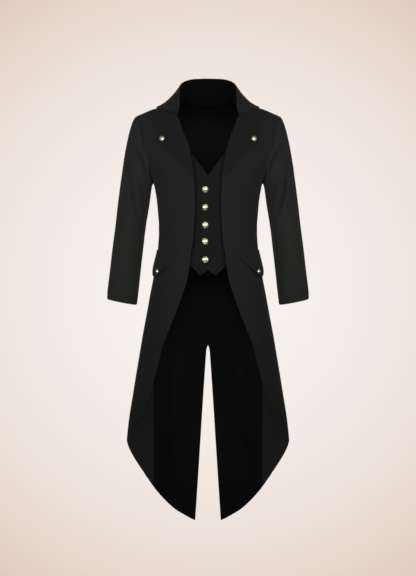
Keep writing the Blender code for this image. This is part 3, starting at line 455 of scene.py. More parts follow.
# Columns: name, place, width and height, power in watts, point it faces, spread in degrees
LIGHTS = (
    ("high_left", (1.6, -2.8, 0.6), (1.0, 1.0), 2.1, (0.0, 0.0, 0.05), 50.0),
    ("high_right", (-1.6, -2.8, 0.6), (1.0, 1.0), 2.0, (0.0, 0.0, 0.05), 50.0),
    ("side_left", (2.2, -2.0, -0.3), (0.5, 0.5), 0.75, (0.26, -0.03, -0.48), 30.0),
    ("side_right", (-2.2, -2.0, -0.3), (0.5, 0.5), 0.75, (-0.26, -0.03, -0.48), 30.0),
    ("front", (0.0, -3.3, 0.2), (1.3, 1.3), 4.4, (0.0, 0.0, 0.08), 46.0),
    ("front_low", (0.0, -3.3, -0.5), (0.8, 0.8), 0.6, (0.0, 0.0, -0.5), 50.0),
    ("low_panel", (-0.25, -1.7, -1.35), (0.9, 0.45), 0.8, (0.0, -0.1, -0.3), 90.0),
    ("behind", (0.0, 2.8, 1.2), (1.8, 1.4), 60.0, (0.0, 0.0, -0.4), 150.0),
)

# Stitching, by piece: axis and end of the border, offset, and the part of the border it follows
STITCHED = {
    "front": ((1, False, HEM_STITCH, (0.0, 0.79)), (0, False, HEM_STITCH)),
    "back": ((0, False, HEM_STITCH), (1, True, 5.0, (0.0, 0.42))),
    "sleeve_top": ((0, True, HEM_STITCH),),
    "sleeve_under": ((0, True, HEM_STITCH),),
    "collar": ((1, True, HEM_STITCH), (0, False, HEM_STITCH, (0.3, 1.0)),
               (0, True, HEM_STITCH, (0.3, 1.0))),
    "lapel": ((0, False, HEM_STITCH, (0.3, 1.0)), (1, True, HEM_STITCH)),
    "vest": ((0, False, 5.0), (0, True, 5.0), (1, False, 5.0)),
    "flap": ((0, True, 5.0), (1, False, 5.0), (1, True, 5.0)),
}

GRIDS = {}
LOOKS = {}


class Curve:
    """A smooth curve through (position, value) rows that doesn't overshoot them."""

    def __init__(self, rows, value_column=1):
        ordered = np.array(sorted(rows, key=lambda row: row[0]), float)
        self.at, self.value = ordered[:, 0], ordered[:, value_column]
        step = np.diff(self.at)
        slope = np.diff(self.value) / step
        inner = np.zeros(len(slope) - 1)
        same_way = slope[:-1] * slope[1:] > 0
        before, after = slope[:-1][same_way], slope[1:][same_way]
        wide, narrow = step[1:][same_way], step[:-1][same_way]
        weight_a, weight_b = 2 * wide + narrow, wide + 2 * narrow
        inner[same_way] = (weight_a + weight_b) / (weight_a / before + weight_b / after)
        self.slope = np.concatenate(([slope[0]], inner, [slope[-1]]))

    def __call__(self, place):
        place = np.clip(place, self.at[0], self.at[-1])
        index = np.clip(np.searchsorted(self.at, place) - 1, 0, len(self.at) - 2)
        width = self.at[index + 1] - self.at[index]
        part = (place - self.at[index]) / width
        return hermite(part, self.value[index], self.value[index + 1],
                       self.slope[index] * width, self.slope[index + 1] * width)


def hermite(part, start, end, leave, arrive):
    """Values from start to end that leave and arrive at the given slopes."""
    rest = 1 - part
    return (start * (1 + 2 * part) * rest ** 2 + end * part ** 2 * (3 - 2 * part)
            + leave * part * rest ** 2 - arrive * part ** 2 * rest)


half_width_below = Curve(HALF_WIDTHS)
front_depth_below = Curve(DEPTHS, 1)
back_depth_below = Curve(DEPTHS, 2)
armhole_width = Curve(ARMHOLE_WIDTHS)
neckline = Curve(NECKLINE)
front_edge_below = Curve(FRONT_EDGE)
side_seam = Curve(SIDE_SEAM)
tail_hem = Curve(TAIL_HEM)
vent = Curve(VENT)


def ease(part):
    """Goes from 0 to 1 with soft ends."""
    part = np.clip(part, 0.0, 1.0)
    return part * part * (3 - 2 * part)


def unit(vectors):
    """Vectors scaled to length one."""
    length = np.linalg.norm(vectors, axis=-1, keepdims=True)
    return vectors / np.maximum(length, 1e-9)


def dot(first, second):
    """Dot products of two arrays of vectors."""
    return np.sum(first * second, axis=-1, keepdims=True)


def packed(count):
    """Shares from 0 to 1, closer together near both ends."""
    even = np.linspace(0.0, 1.0, count)
    return even - 0.7 * np.sin(math.tau * even) / math.tau


def packed_late(count):
    """Shares from 0 to 1, closer together near 1."""
    return packed(2 * count + 1)[count:] * 2 - 1


def run_of(points):
    """Distance of each point of a line from its first."""
    return np.concatenate(([0.0], np.cumsum(np.linalg.norm(np.diff(points, axis=0), axis=1))))


def between(place, run, rows):
    """Rows of numbers at places between those where they are given."""
    return np.stack([np.interp(place, run, column) for column in rows.T], axis=-1)


def smooth_line(pairs, shares):
    """Points on a smooth line through X and Z pairs, at shares of its length."""
    corners = np.array(pairs, float)
    run = run_of(corners)
    lines = [Curve(list(zip(run, column)))(shares * run[-1]) for column in corners.T]
    return np.stack(lines, axis=1)


def height_share(level):
    """How far a level lies between the armpit, 0, and the shoulder line, 1."""
    return np.clip((level - ARMPIT_LEVEL) / -ARMPIT_LEVEL, 0.0, 1.0)


def half_width(level):
    """Half the width of the whole section at a level, under the sleeve too."""
    opened = np.clip(2 * height_share(level), 0.0, 1.0)
    reach = ARMHOLE_REACH * np.sqrt(1 - (1 - opened) ** 2)
    upper = armhole_width(level) / (1 - reach ** SECTION_POWER) ** (1 / SECTION_POWER)
    return np.where(level <= ARMPIT_LEVEL, half_width_below(level), upper)


def depth(level, x, is_front):
    """Depth of the section from its centre to the front or to the back."""
    power, full = FRONT_TOP_POWER, front_depth_below(level)
    if not is_front:
        narrowing = np.minimum(np.abs(x) / BACK_TOP_POWER_WIDTH, 1.0)
        power, full = BACK_TOP_POWER - BACK_TOP_POWER_FALL * narrowing, back_depth_below(level)
    return full * np.maximum(1 - height_share(level) ** power, 0.0) ** (1 / power)


def shoulder_slope(level, x):
    """Height that the slope of the shoulder takes off a point."""
    past_neck = np.maximum(np.abs(x) - NECK_POINT_X, 0.0) / (SHOULDER_POINT_X - NECK_POINT_X)
    return -SHOULDER_DROP * past_neck ** SHOULDER_CURVE * ease(height_share(level))


def section_y(x, level, is_front):
    """Distance in Y of the body's surface from the section's centre."""
    ratio = np.minimum(np.abs(x) / half_width(level), 1.0)
    return depth(level, x, is_front) * (1 - ratio ** SECTION_POWER) ** (1 / SECTION_POWER)


def skin(x, level, is_front):
    """Points of the body's surface at distances from the middle and levels."""
    x, level = np.broadcast_arrays(np.asarray(x, float), np.asarray(level, float))
    side = -1.0 if is_front else 1.0
    y = SECTION_CENTRE_Y + side * section_y(x, level, is_front)
    return np.stack((x, y, level + shoulder_slope(level, x)), axis=-1)


def angle_of(x, level, is_front):
    """Angle round the section from the middle of the front, in degrees."""
    angle = np.degrees(np.arctan2(x, section_y(x, level, is_front)))
    return angle if is_front else 180.0 - angle


def skin_round(angle, level):
    """Points of the body's surface at angles round the section and levels."""
    angle, level = np.broadcast_arrays(np.asarray(angle, float), np.asarray(level, float))
    across, along = np.abs(np.sin(np.radians(angle))), np.abs(np.cos(np.radians(angle)))
    found = []
    for is_front in (True, False):
        reach = ((across / half_width(level)) ** SECTION_POWER
                 + (along / depth(level, 0.0, is_front)) ** SECTION_POWER)
        found.append(skin(reach ** (-1 / SECTION_POWER) * across, level, is_front))
    return np.where((angle <= 90.0)[..., None], *found)


def level_at(x, z):
    """Level whose surface point at x has the height z."""
    low, high = np.full(np.shape(x), TAIL_TIP_LEVEL), np.zeros(np.shape(x))
    for _ in range(40):
        middle = (low + high) / 2
        is_below = middle + shoulder_slope(middle, x) < z
        low, high = np.where(is_below, middle, low), np.where(is_below, high, middle)
    return (low + high) / 2


def front_edge(level):
    """Distance of the front's free edge from the middle."""
    return np.where(level > ROLL_TOP_LEVEL, neckline(level), front_edge_below(level))


def edge_lift(x, level):
    """How far the front stands off the body near its free edge."""
    nearness = 1 - ease((np.abs(x) - front_edge(level)) / EDGE_LIFT_WIDTH)
    lower = ease((level - EDGE_LIFT_END) / EDGE_LIFT_FADE)
    return EDGE_LIFT * nearness * lower * ease(level / ROLL_TOP_LEVEL)


def surface_normal(x, level, is_front):
    """Directions that point out of the body's surface."""
    low = np.minimum(level, -2.5)
    across = skin(x + 1.0, low, is_front) - skin(x - 1.0, low, is_front)
    upward = skin(x, low + 1.0, is_front) - skin(x, low - 1.0, is_front)
    normal = np.cross(across, upward)
    return unit(normal if is_front else -normal)


def lifted_front(x, level):
    """Points of a front's outer face."""
    return skin(x, level, True) + edge_lift(x, level)[..., None] * surface_normal(x, level, True)


def hem_level(angle):
    """Level of the tail's hem at angles round the body."""
    levels = np.linspace(HEM_CORNER_LEVEL, TAIL_TIP_LEVEL, 200)
    return np.interp(angle, angle_of(tail_hem(levels), levels, False), levels)


def centre_x(level):
    """Distance of a back's inner edge from the middle: the vent, and above it the seam."""
    return np.where(level < VENT_TOP_LEVEL, vent(level), SEAM_GAP / 2)


def fine_upper_levels():
    """Levels of the fine rows above the armpit, FINER of them to each of the solids' rows."""
    return Curve(list(enumerate(UPPER_LEVELS)))(np.arange(UPPER_ROWS) / FINER)


def body_rows(foot, borders):
    """Rows of a front or back from the hem up to the armpit.

    Foot is the level of the hem at each side border. A border is the curve of its distance from
    the middle, and whether that is on the front half.
    """
    def angles(low, high):
        first, last = (angle_of(line(level), level, is_front)
                       for (line, is_front), level in zip(borders, (low, high)))
        return first + (last - first) * packed(PANEL_COLUMNS)

    feet = hem_level(angles(*foot))
    feet[0], feet[-1] = foot
    even = np.linspace(0.0, 1.0, TAIL_ROWS + 1)[:-1]
    rises = even - 0.6 * np.sin(math.pi * even) / math.pi
    rows = [feet + (HIP_LEVEL - feet) * rise for rise in rises]
    for level in np.linspace(HIP_LEVEL, ARMPIT_LEVEL, HIP_ROWS + 1)[:-1]:
        rows.append(np.full(PANEL_COLUMNS, level))
    return [skin_round(angles(levels[0], levels[-1]), levels) for levels in rows]


def smooth_armpit(rows, seam_column):
    """Grid of the rows, with a softer change of section at the armpit, off the side seam."""
    grid = np.array(rows)
    nearness = np.exp(-((np.arange(len(grid)) - ARMPIT_ROW) / ARMPIT_SOFT_ROWS) ** 2)
    columns = np.abs(np.arange(grid.shape[1]) - seam_column)
    weight = (0.5 * nearness[:, None] * ease(columns / ARMPIT_SOFT_COLUMNS))[1:-1, :, None]
    for _ in range(ARMPIT_SOFT_PASSES):
        grid[1:-1] += weight * ((grid[:-2] + grid[2:]) / 2 - grid[1:-1])
    return grid


def front_outer():
    """Outer face of the left front, columns from the free edge to the side seam."""
    rows = body_rows((HEM_CORNER_LEVEL, SEAM_FOOT_LEVEL),
                     ((front_edge_below, True), (side_seam, False)))
    shares = packed(PANEL_COLUMNS)
    first = angle_of(front_edge_below(ARMPIT_LEVEL), ARMPIT_LEVEL, True)
    low_x = skin_round(first + (90.0 - first) * shares, ARMPIT_LEVEL)[:, 0]
    low_shares = (low_x - low_x[0]) / (low_x[-1] - low_x[0])
    for level in fine_upper_levels():
        blend = ease(height_share(level))
        edge, hole = front_edge(level), armhole_width(level)
        rows.append(skin(edge + (hole - edge) * (low_shares * (1 - blend) + shares * blend),
                         level, True))
    grid = smooth_armpit(rows, PANEL_COLUMNS - 1)
    level = level_at(grid[..., 0], grid[..., 2])
    lift = edge_lift(grid[..., 0], level)
    lift[:, -1] = 0.0
    return grid + lift[..., None] * surface_normal(grid[..., 0], level, True)


def back_outer():
    """Outer face of the left back, columns from the side seam to the middle."""
    rows = body_rows((SEAM_FOOT_LEVEL, TAIL_TIP_LEVEL), ((side_seam, False), (centre_x, False)))
    shares = packed(PANEL_COLUMNS)
    low_x = skin_round(90.0 + 90.0 * shares, ARMPIT_LEVEL)[:, 0]
    low_shares = low_x / low_x[0]
    top_shares = np.interp(shares, (0.0, 0.5, 1.0), (1.0, NECK_POINT_X / SHOULDER_POINT_X, 0.0))
    nape = NAPE_DIP * np.maximum(1 - (SHOULDER_POINT_X * top_shares / NECK_POINT_X) ** 2, 0.0)
    for level in fine_upper_levels():
        share = height_share(level)
        blend = ease(share)
        x = armhole_width(level) * (low_shares * (1 - blend) + top_shares * blend)
        rows.append(skin(np.maximum(x, SEAM_GAP / 2), level - nape * share ** 2, False))
    return smooth_armpit(rows, 0)


def grid_normals(grid, inside):
    """Directions out of a grid of points, away from a place inside it."""
    normals = unit(np.cross(np.gradient(grid, axis=1), np.gradient(grid, axis=0)))
    row, column = grid.shape[0] // 2, grid.shape[1] // 2
    if np.dot(normals[row, column], grid[row, column] - np.array(inside)) < 0:
        normals = -normals
    return normals


def body_normals(grid):
    """Directions out of a front or back, square to the shoulder seam on its top row."""
    normals = grid_normals(grid, (0.0, SECTION_CENTRE_Y, grid[grid.shape[0] // 2, 0, 2]))
    on_shoulder = np.abs(grid[-1, :, 1] - SECTION_CENTRE_Y) < 1.0
    normals[-1, on_shoulder, 1] = 0.0
    normals[-1] = unit(normals[-1])
    return normals


def from_border(grid, axis, at_end):
    """Distance of every point of a grid from one of its borders, along the grid."""
    run = np.linalg.norm(np.diff(grid, axis=axis), axis=-1)
    run = np.flip(run, axis) if at_end else run
    total = np.concatenate((np.zeros_like(np.take(run, [0], axis)), np.cumsum(run, axis)), axis)
    return np.flip(total, axis) if at_end else total


def dip(distance, width):
    """A soft trough, one deep, at distance nought."""
    return -np.exp(-(distance / width) ** 2)


def armhole_groove(level, distance):
    """Trough where the sleeve is set in, deepest in front of and behind the armpit."""
    trough, width = (Curve(ARMHOLE_GROOVE, column)(level) for column in (1, 2))
    return trough * dip(distance, width)


def crease_height(grid, creases, is_mirrored=True):
    """Height that soft creases add to the points of a grid, seen from the front."""
    flat = grid[..., [0, 2]]
    if is_mirrored:
        flat = np.abs(flat) * (1, -1)
    total = np.zeros(grid.shape[:2])
    share = np.linspace(0.0, 1.0, CREASE_POINTS)
    for height, width, *pairs in creases:
        line = smooth_line(pairs, share)
        best, along, side = np.full(total.shape, 1e9), np.zeros(total.shape), 0.0
        for start, end, first, last in zip(line[:-1], line[1:], share[:-1], share[1:]):
            run = end - start
            part = np.clip((flat - start) @ run / (run @ run), 0.0, 1.0)
            away = flat - start - part[..., None] * run
            distance = np.linalg.norm(away, axis=-1)
            nearer = distance < best
            best = np.where(nearer, distance, best)
            along = np.where(nearer, first + (last - first) * part, along)
            side = np.where(nearer, np.sign(run[0] * away[..., 1] - run[1] * away[..., 0]), side)
        taper = np.sqrt(np.clip(np.sin(np.pi * along), 0.0, 1.0))
        past = (best * side - CREASE_BANK_PLACE * width) / (CREASE_BANK_WIDTH * width)
        total += taper * height * (np.exp(-(best / width) ** 2)
                                   - CREASE_BANK * np.exp(-past ** 2))
    return total


def varied(creases, seed, side):
    """The creases of the left side, and for the right with other depths, widths and places."""
    if side == 0:
        return creases
    draw = np.random.default_rng(seed)
    rows = []
    for height, width, *pairs in creases:
        right, up = draw.uniform(-1.0, 1.0, 2) * CREASE_SHIFT
        moved = [(x + right, z + up) for x, z in pairs]
        rows.append((height * draw.uniform(*CREASE_DEPTHS),
                     width * draw.uniform(*CREASE_WIDTHS), *moved))
    return rows


def unevenness(grid):
    """Slow swells of the cloth, the same for pieces that lie on each other."""
    draw = np.random.default_rng(SWELL_SEED)
    total = np.zeros(grid.shape[:-1])
    for _ in range(SWELLS):
        way = unit(draw.normal(size=3)) * draw.uniform(*SWELL_RATES)
        total += np.sin(grid @ way + draw.uniform(0, math.tau)) * draw.uniform(*SWELL_HEIGHTS)
    on_shoulder = np.exp(-((np.abs(grid[..., 0]) - SHOULDER_PAD_X) / SHOULDER_PAD_REACH) ** 2)
    on_shoulder *= ease((grid[..., 2] - SHOULDER_PAD_FOOT) / SHOULDER_PAD_FADE)
    return total * SWELL / 3.0 + SHOULDER_PAD * on_shoulder


def stitch_dips(grid, edges, width=TURNED_DIP_WIDTH):
    """Shallow troughs under the stitching along free edges."""
    total = np.zeros(grid.shape[:2])
    for axis, at_end in edges:
        total += STITCH_DIP * dip(from_border(grid, axis, at_end) - HEM_STITCH, width)
    return total


def seam_relief(grid, seams, edges, seed):
    """Dips along seams and stitch lines, small puckers beside seams, and a mask off the borders.

    A seam is an axis, whether it is at its end, and the rows between which it dips.
    """
    draw = np.random.default_rng(seed)
    total, mask = stitch_dips(grid, edges, STITCH_DIP_WIDTH), np.ones(grid.shape[:2])
    place = np.arange(len(grid))[:, None]
    for axis, at_end, first_row, last_row in seams:
        distance = from_border(grid, axis, at_end)
        along = from_border(grid, 1 - axis, False)
        held = (ease((place - first_row) / SEAM_END_ROWS + 1)
                * ease((last_row - place) / SEAM_END_ROWS + 1))
        drift = PUCKER_DRIFT * np.sin(along / PUCKER_DRIFT_WAVE + draw.uniform(0, 6))
        pucker = PUCKER * np.sin(along / PUCKER_WAVE * math.tau + drift)
        pucker *= np.exp(-distance / PUCKER_FADE) * (1 + dip(distance, PUCKER_SEAM_WIDTH))
        total += held * (SEAM_DIP * dip(distance, SEAM_DIP_WIDTH) + pucker)
        mask *= ease((distance - CREASE_CLEAR) / CREASE_FADE)
    return total, mask


def edge_nearness(grid, edges):
    """How near each point is to a free edge, from 1 on it to 0."""
    near = np.zeros(grid.shape[:2])
    for axis, at_end in edges:
        near = np.maximum(near, 1 - ease(from_border(grid, axis, at_end) / EDGE_WEAR_AND_SHEEN_WIDTH))
    return near


def pull_in(grid, axis, at_end, amount):
    """Moves one border of a grid towards its neighbours."""
    view = np.swapaxes(grid, 0, axis)
    first, second = (-1, -2) if at_end else (0, 1)
    view[first] += amount * unit(view[second] - view[first])


def linked(name, data):
    """New object in the scene."""
    made = bpy.data.objects.new(name, data)
    bpy.context.scene.collection.objects.link(made)
    return made


def add_piece(prefix, name, points, faces, looks):
    """Smooth mesh of points in millimetres, as a piece that rides on the coat."""
    mesh = bpy.data.meshes.new(name)
    mesh.from_pydata((points * MM).tolist(), [], faces)
    for look in looks:
        mesh.materials.append(LOOKS[look])
    mesh.shade_smooth()
    made = linked(prefix + name, mesh)
    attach(made, "root")
    return made


def border_loop(rows, columns):
    """Row and column of every point round the border of a grid."""
    loop = [(0, column) for column in range(columns)]
    loop += [(row, columns - 1) for row in range(1, rows)]
    loop += [(rows - 1, column) for column in range(columns - 2, -1, -1)]
    loop += [(row, 0) for row in range(rows - 2, 0, -1)]
    return np.array(loop)


def place_on_cloth(name, outer):
    """Each point's place on the cloth in metres, along the straight grain."""
    is_hung = not name.startswith(("sleeve", "collar"))
    middle = [outer.shape[1] // 2]
    across = from_border(outer * (1, 1, 0) if is_hung else outer, 1, False)
    up = from_border(outer, 0, False)[:, middle] + is_hung * (outer[..., 2] - outer[:, middle, 2])
    return np.stack((across - across[:, middle], up), axis=-1).reshape(-1, 2) * MM


def shell(name, outer, inner, look, near, under=None):
    """Closed thin cloth between two grids, with a rounded edge, in place of a CAD node.

    Near is how near each point is to a free edge. Under is the look of the inner face where a
    mask of its faces is true, that mask, and the look elsewhere.
    """
    rows, columns = outer.shape[:2]
    loop = border_loop(rows, columns)
    on_border = tuple(loop.T)
    middle = (outer + inner) / 2
    inward = middle[tuple(np.clip(loop, 1, (rows - 2, columns - 2)).T)]
    bulge = SEAM_BULGE + EDGE_BULGE * near[on_border][:, None]
    rim = middle[on_border] + bulge * unit(middle[on_border] - inward)
    count = rows * columns
    index = np.arange(count).reshape(rows, columns)
    quads = np.stack((index[:-1, :-1], index[:-1, 1:], index[1:, 1:], index[1:, :-1]), axis=-1)
    quads = quads.reshape(-1, 4)
    border, rims = index[on_border], 2 * count + np.arange(len(loop))
    after, rims_after = np.roll(border, -1), np.roll(rims, -1)
    faces = np.concatenate((
        quads, quads[:, ::-1] + count,
        np.stack((after, border, rims, rims_after), axis=1),
        np.stack((rims_after, rims, border + count, after + count), axis=1),
    ))
    points = np.concatenate((outer.reshape(-1, 3), inner.reshape(-1, 3), rim))
    looks = (look,) if under is None else (look, under[0], under[2])
    made = add_piece("cloth_", name, points, faces.tolist(), looks)
    mesh = made.data
    uv = place_on_cloth(name, outer)
    uv = np.concatenate((uv, uv, uv[border]))
    corner = np.zeros(len(mesh.loops), int)
    mesh.loops.foreach_get("vertex_index", corner)
    layer = mesh.uv_layers.new(name="cloth")
    layer.uv.foreach_set("vector", uv[corner].astype(np.float32).ravel())
    near = near.reshape(-1)
    # Nearness to free edges for the paler edge colour: rubbed wear with a painted sheen
    wear_and_sheen = mesh.attributes.new("edge", "FLOAT", "POINT")
    wear_and_sheen.data.foreach_set("value", np.concatenate((near, near, near[border])).astype(np.float32))
    if under is not None:
        slots = np.zeros(len(faces), np.int32)
        slots[len(quads):2 * len(quads)] = np.where(under[1], 1, 2).reshape(-1)
        beside = np.minimum(loop, (rows - 2, columns - 2))
        slots[2 * len(quads):] = np.tile(under[1][tuple(beside.T)], 2)
        mesh.polygons.foreach_set("material_index", slots)
    solid = bmesh.new()
    solid.from_mesh(mesh)
    bmesh.ops.recalc_face_normals(solid, faces=solid.faces)
    solid.to_mesh(mesh)
    solid.free()
    mesh.set_sharp_from_angle(angle=math.radians(EDGE_ANGLE))
    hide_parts(name)


def paired(stem, side, outer, inner, out, look, near, under=None):
    """Shell of the left or right piece, from the left piece's grids and normals."""
    flip = FLIP if side else 1.0
    name = stem + SIDES[side]
    shell(name, outer * flip, inner * flip, look, near, under)
    GRIDS[name] = (outer * flip, out * flip)


def make_panels(stem, base, out, creases, seams, edges, seed, groove, inside):
    """Fronts or backs, each with creases of its own."""
    near = edge_nearness(base, edges)
    for side in (0, 1):
        relief, mask = seam_relief(base, seams, edges, seed + side)
        height = relief + mask * crease_height(base, varied(creases, seed, side)) + groove
        outer = base + height[..., None] * out
        # Inner faces off the lining get a lighter copy of the suiting: painted light inside the
        # tails and fronts
        paired(stem, side, outer, outer - CLOTH * out, out, "outer_suiting", near,
               ("black_lining", inside, "turned_lit_suiting"))


def make_body():
    """Fronts and backs; returns the grids that the sleeves and the collar start from."""
    front, back = front_outer(), back_outer()
    front_out, back_out = body_normals(front), body_normals(back)
    seam = slice(0, ARMPIT_ROW + 1)
    seam_out = unit(front_out[seam, -1] + back_out[seam, 0])
    front_out[seam, -1], back_out[seam, 0] = seam_out, seam_out
    back_out[ARMPIT_ROW:, -1, 0] = 0.0
    back_out = unit(back_out)
    front = front + unevenness(front)[..., None] * front_out
    back = back + unevenness(back)[..., None] * back_out
    front_wall, back_wall = front.copy(), back.copy()
    pull_in(front_wall[seam], 1, True, SEAM_GAP / 2)
    pull_in(back_wall[seam], 1, False, SEAM_GAP / 2)
    front_wall[-1, :, 1] -= SEAM_GAP / 2
    back_wall[-1, :MIDDLE_COLUMN + 1, 1] += SEAM_GAP / 2
    inside = np.zeros((len(front) - 1, PANEL_COLUMNS - 1), bool)
    lined = inside.copy()
    inside[LINED_ROW:, LINED_COLUMN:] = True
    lined[LINED_ROW:] = True
    grooves = [armhole_groove(wall[..., 2], from_border(wall, 1, at_end))
               for wall, at_end in ((front_wall, True), (back_wall, False))]
    for groove in grooves:
        groove[:ARMPIT_ROW] = 0.0
    top = len(front) - 1
    vent_row = int(np.argmax(level_at(back[:, -1, 0], back[:, -1, 2]) > VENT_TOP_LEVEL))
    side_rows, shoulder = (0, ARMPIT_ROW - 3), (0, True, 0, top)
    make_panels("front", front_wall, front_out, FRONT_CREASES, ((1, True, *side_rows), shoulder),
                ((1, False), (0, False)), FRONT_SEED, grooves[0], inside)
    back_seams = ((1, False, *side_rows), (1, True, vent_row, top - 9), shoulder)
    make_panels("back", back_wall, back_out, BACK_CREASES, back_seams, ((0, False),), BACK_SEED,
                grooves[1], lined)
    make_lining(back, back_out, back_seams[::2], grooves[1])
    return front, front_out, back, back_out


def make_lining(back, back_out, seams, groove):
    """Black lining inside the backs and tails, a little short of their edges."""
    for side in (0, 1):
        relief, mask = seam_relief(back, seams, (), BACK_SEED + side)
        closed = ease((back[..., 2] - VENT_TOP_LEVEL) / VENT_CLOSING)
        relief += SEAM_DIP * closed * dip(from_border(back, 1, True), LINING_TROUGH_WIDTH)
        creases = varied(BACK_CREASES, BACK_SEED, side)
        relief += mask * crease_height(back, creases) + groove
        slack = 0.55 + 0.45 * np.sin(back[..., 2] / LINING_WAVE_UP
                                     + back[..., 0] / LINING_WAVE_ACROSS + side)
        depth_in = CLOTH + LINING_SEAT + slack * LINING_SLACK
        lining = back + (relief - depth_in)[..., None] * back_out
        for axis, at_end, amount in LINING_MARGINS:
            pull_in(lining, axis, at_end, amount)
        closed = ease((lining[:, -1, 2] - VENT_TOP_LEVEL) / LINING_CLOSING)
        lap = -LINING_CENTRE_GAP if side else LINING_LAP
        lining[:, -1, 0] -= (lap + lining[:, -1, 0]) * closed
        if side == 0:
            lining[:, -1] -= LINING_LAP_RISE * closed[:, None] * back_out[:, -1]
        near = edge_nearness(lining, ((0, False),))
        paired("lining", side, lining, lining - LINING * back_out, back_out, "black_lining", near)


def armhole_ring(front, front_out, back, back_out):
    """Points, body normals and directions into the sleeve round the armhole, from the top."""
    points, normals = (np.concatenate((fore[-1:-UPPER_ROWS - 1:-1, -1], aft[-UPPER_ROWS + 1:-1, 0]))
                       for fore, aft in ((front, back), (front_out, back_out)))
    normals[UPPER_ROWS - 1] = unit(front_out[-UPPER_ROWS, -1] + back_out[-UPPER_ROWS, 0])
    tangents = unit(np.roll(points, -1, axis=0) - np.roll(points, 1, axis=0))
    return points, normals, unit(np.cross(normals, tangents))


def sleeve_surface(points, leave):
    """Outer face of the left sleeve as closed rings from the armhole to the cuff."""
    turns = np.arange(len(points)) * math.tau / len(points)
    start = points - ARMHOLE_TUCK * leave
    along = packed_late(SLEEVE_ROWS)
    top, foot = SLEEVE_RINGS[0][0], SLEEVE_RINGS[-1][0]
    levels = (top + (foot - top) * along)[:, None]
    outer, inner, half_depth, centre_y = (
        Curve(SLEEVE_RINGS, column)(levels) for column in (1, 2, 3, 4))
    rings = np.stack((
        (outer + inner) / 2 + (outer - inner) / 2 * np.cos(turns),
        centre_y - half_depth * np.sin(turns),
        levels + CUFF_TILT * ease((top - levels) / (top - foot)) * np.cos(turns),
    ), axis=-1)
    topness = ((1 + np.cos(turns)) / 2)[:, None]
    tangent_start = CROWN_TANGENT_TOP * topness + CROWN_TANGENT_ARMPIT * (1 - topness)
    tangent_start[:, 1] -= CROWN_FULLNESS * np.sin(turns)
    reach = np.linalg.norm(rings[0] - start, axis=1)[:, None]
    crown = [hermite(step, start, rings[0], tangent_start, unit(rings[3] - rings[0]) * reach)
             for step in np.linspace(0.0, 1.0, CROWN_ROWS + 1)[:-1] ** CROWN_PACKING]
    return np.concatenate((crown, rings))


def make_sleeves(*body):
    """Top and under sleeves, parted at the two sleeve seams."""
    points, body_out, leave = armhole_ring(*body)
    surface = sleeve_surface(points, leave)
    count = surface.shape[1]
    turns = np.arange(count) * math.tau / count
    looped = np.concatenate((surface[:, -2:], surface, surface[:, :2]), axis=1)
    out = grid_normals(looped, surface[len(surface) // 2].mean(axis=0))[:, 2:-2]
    thickness = -CLOTH * out
    thickness[0] = CLOTH * unit(-out[0] - np.minimum(dot(-out[0], leave), 0.0) * leave)
    picks = {
        "sleeve_top": np.arange(BACK_SLEEVE_SEAM - count, FRONT_SLEEVE_SEAM + 1) % count,
        "sleeve_under": np.arange(FRONT_SLEEVE_SEAM, BACK_SLEEVE_SEAM + 1) % count,
    }
    centre_y = Curve(SLEEVE_RINGS, 4)(surface[..., 2])
    toward_front = ease((centre_y - surface[..., 1] + SLEEVE_BLEND) / (2 * SLEEVE_BLEND))
    armhole, to_cuff = from_border(surface, 0, False), from_border(surface, 0, True)
    fade = ease((armhole - 0.5) / SLEEVE_FADE)
    turned = np.clip(1 - to_cuff / CUFF_ROUND, 0.0, 1.0)
    ends = (CROWN_RUCK * np.sin(CROWN_RUCKS * turns) * (1 + np.cos(turns)) / 2
            * np.exp(-((armhole - CROWN_RUCK_PLACE) / CROWN_RUCK_WIDTH) ** 2))
    ends += CUFF_STITCH_DIP * dip(to_cuff - CUFF_STITCH, STITCH_DIP_WIDTH)
    ends -= CUFF_TURN * (1 - np.sqrt(1 - turned ** 2))
    for side in (0, 1):
        on_front = crease_height(surface, varied(SLEEVE_FRONT_CREASES, SLEEVE_FRONT_SEED, side))
        on_back = crease_height(surface, varied(SLEEVE_BACK_CREASES, SLEEVE_BACK_SEED, side))
        creases = toward_front * on_front + (1 - toward_front) * on_back
        height = fade * (SLEEVE_CREASE_SCALE * creases + unevenness(surface)) + ends
        outer = surface + height[..., None] * out
        outer += armhole_groove(points[:, 2], armhole)[..., None] * body_out
        inner = outer + thickness
        for stem, picked in picks.items():
            faces = [outer[:, picked], inner[:, picked]]
            for at_end in (False, True):
                trough = SLEEVE_SEAM_DIP * dip(from_border(faces[0], 1, at_end), SEAM_DIP_WIDTH)
                faces = [face + trough[..., None] * out[:, picked] for face in faces]
            for face in faces:
                pull_in(face, 1, False, SEAM_GAP / 2)
                pull_in(face, 1, True, SEAM_GAP / 2)
            inside = np.ones((len(surface) - 1, len(picked) - 1), bool)
            inside[-SLEEVE_FACING_ROWS:] = False
            # The sleeves' suiting is lighter than the body's: painted light on the sleeves
            paired(stem, side, *faces, out[:, picked], "sleeve_suiting",
                   edge_nearness(faces[0], ((0, True),)),
                   ("black_lining", inside, "sleeve_suiting"))


def neck_line(front, front_out, back, back_out):
    """Points, normals and directions away from the cloth on the left neckline, nape to front."""
    rows = int(np.sum(fine_upper_levels() > ROLL_TOP_LEVEL - 1))
    points, normals = (np.concatenate((aft[-1, :MIDDLE_COLUMN - 1:-1], fore[-2:-rows - 1:-1, 0]))
                       for fore, aft in ((front, back), (front_out, back_out)))
    return points, normals, unit(np.cross(unit(np.gradient(points, axis=0)), normals))


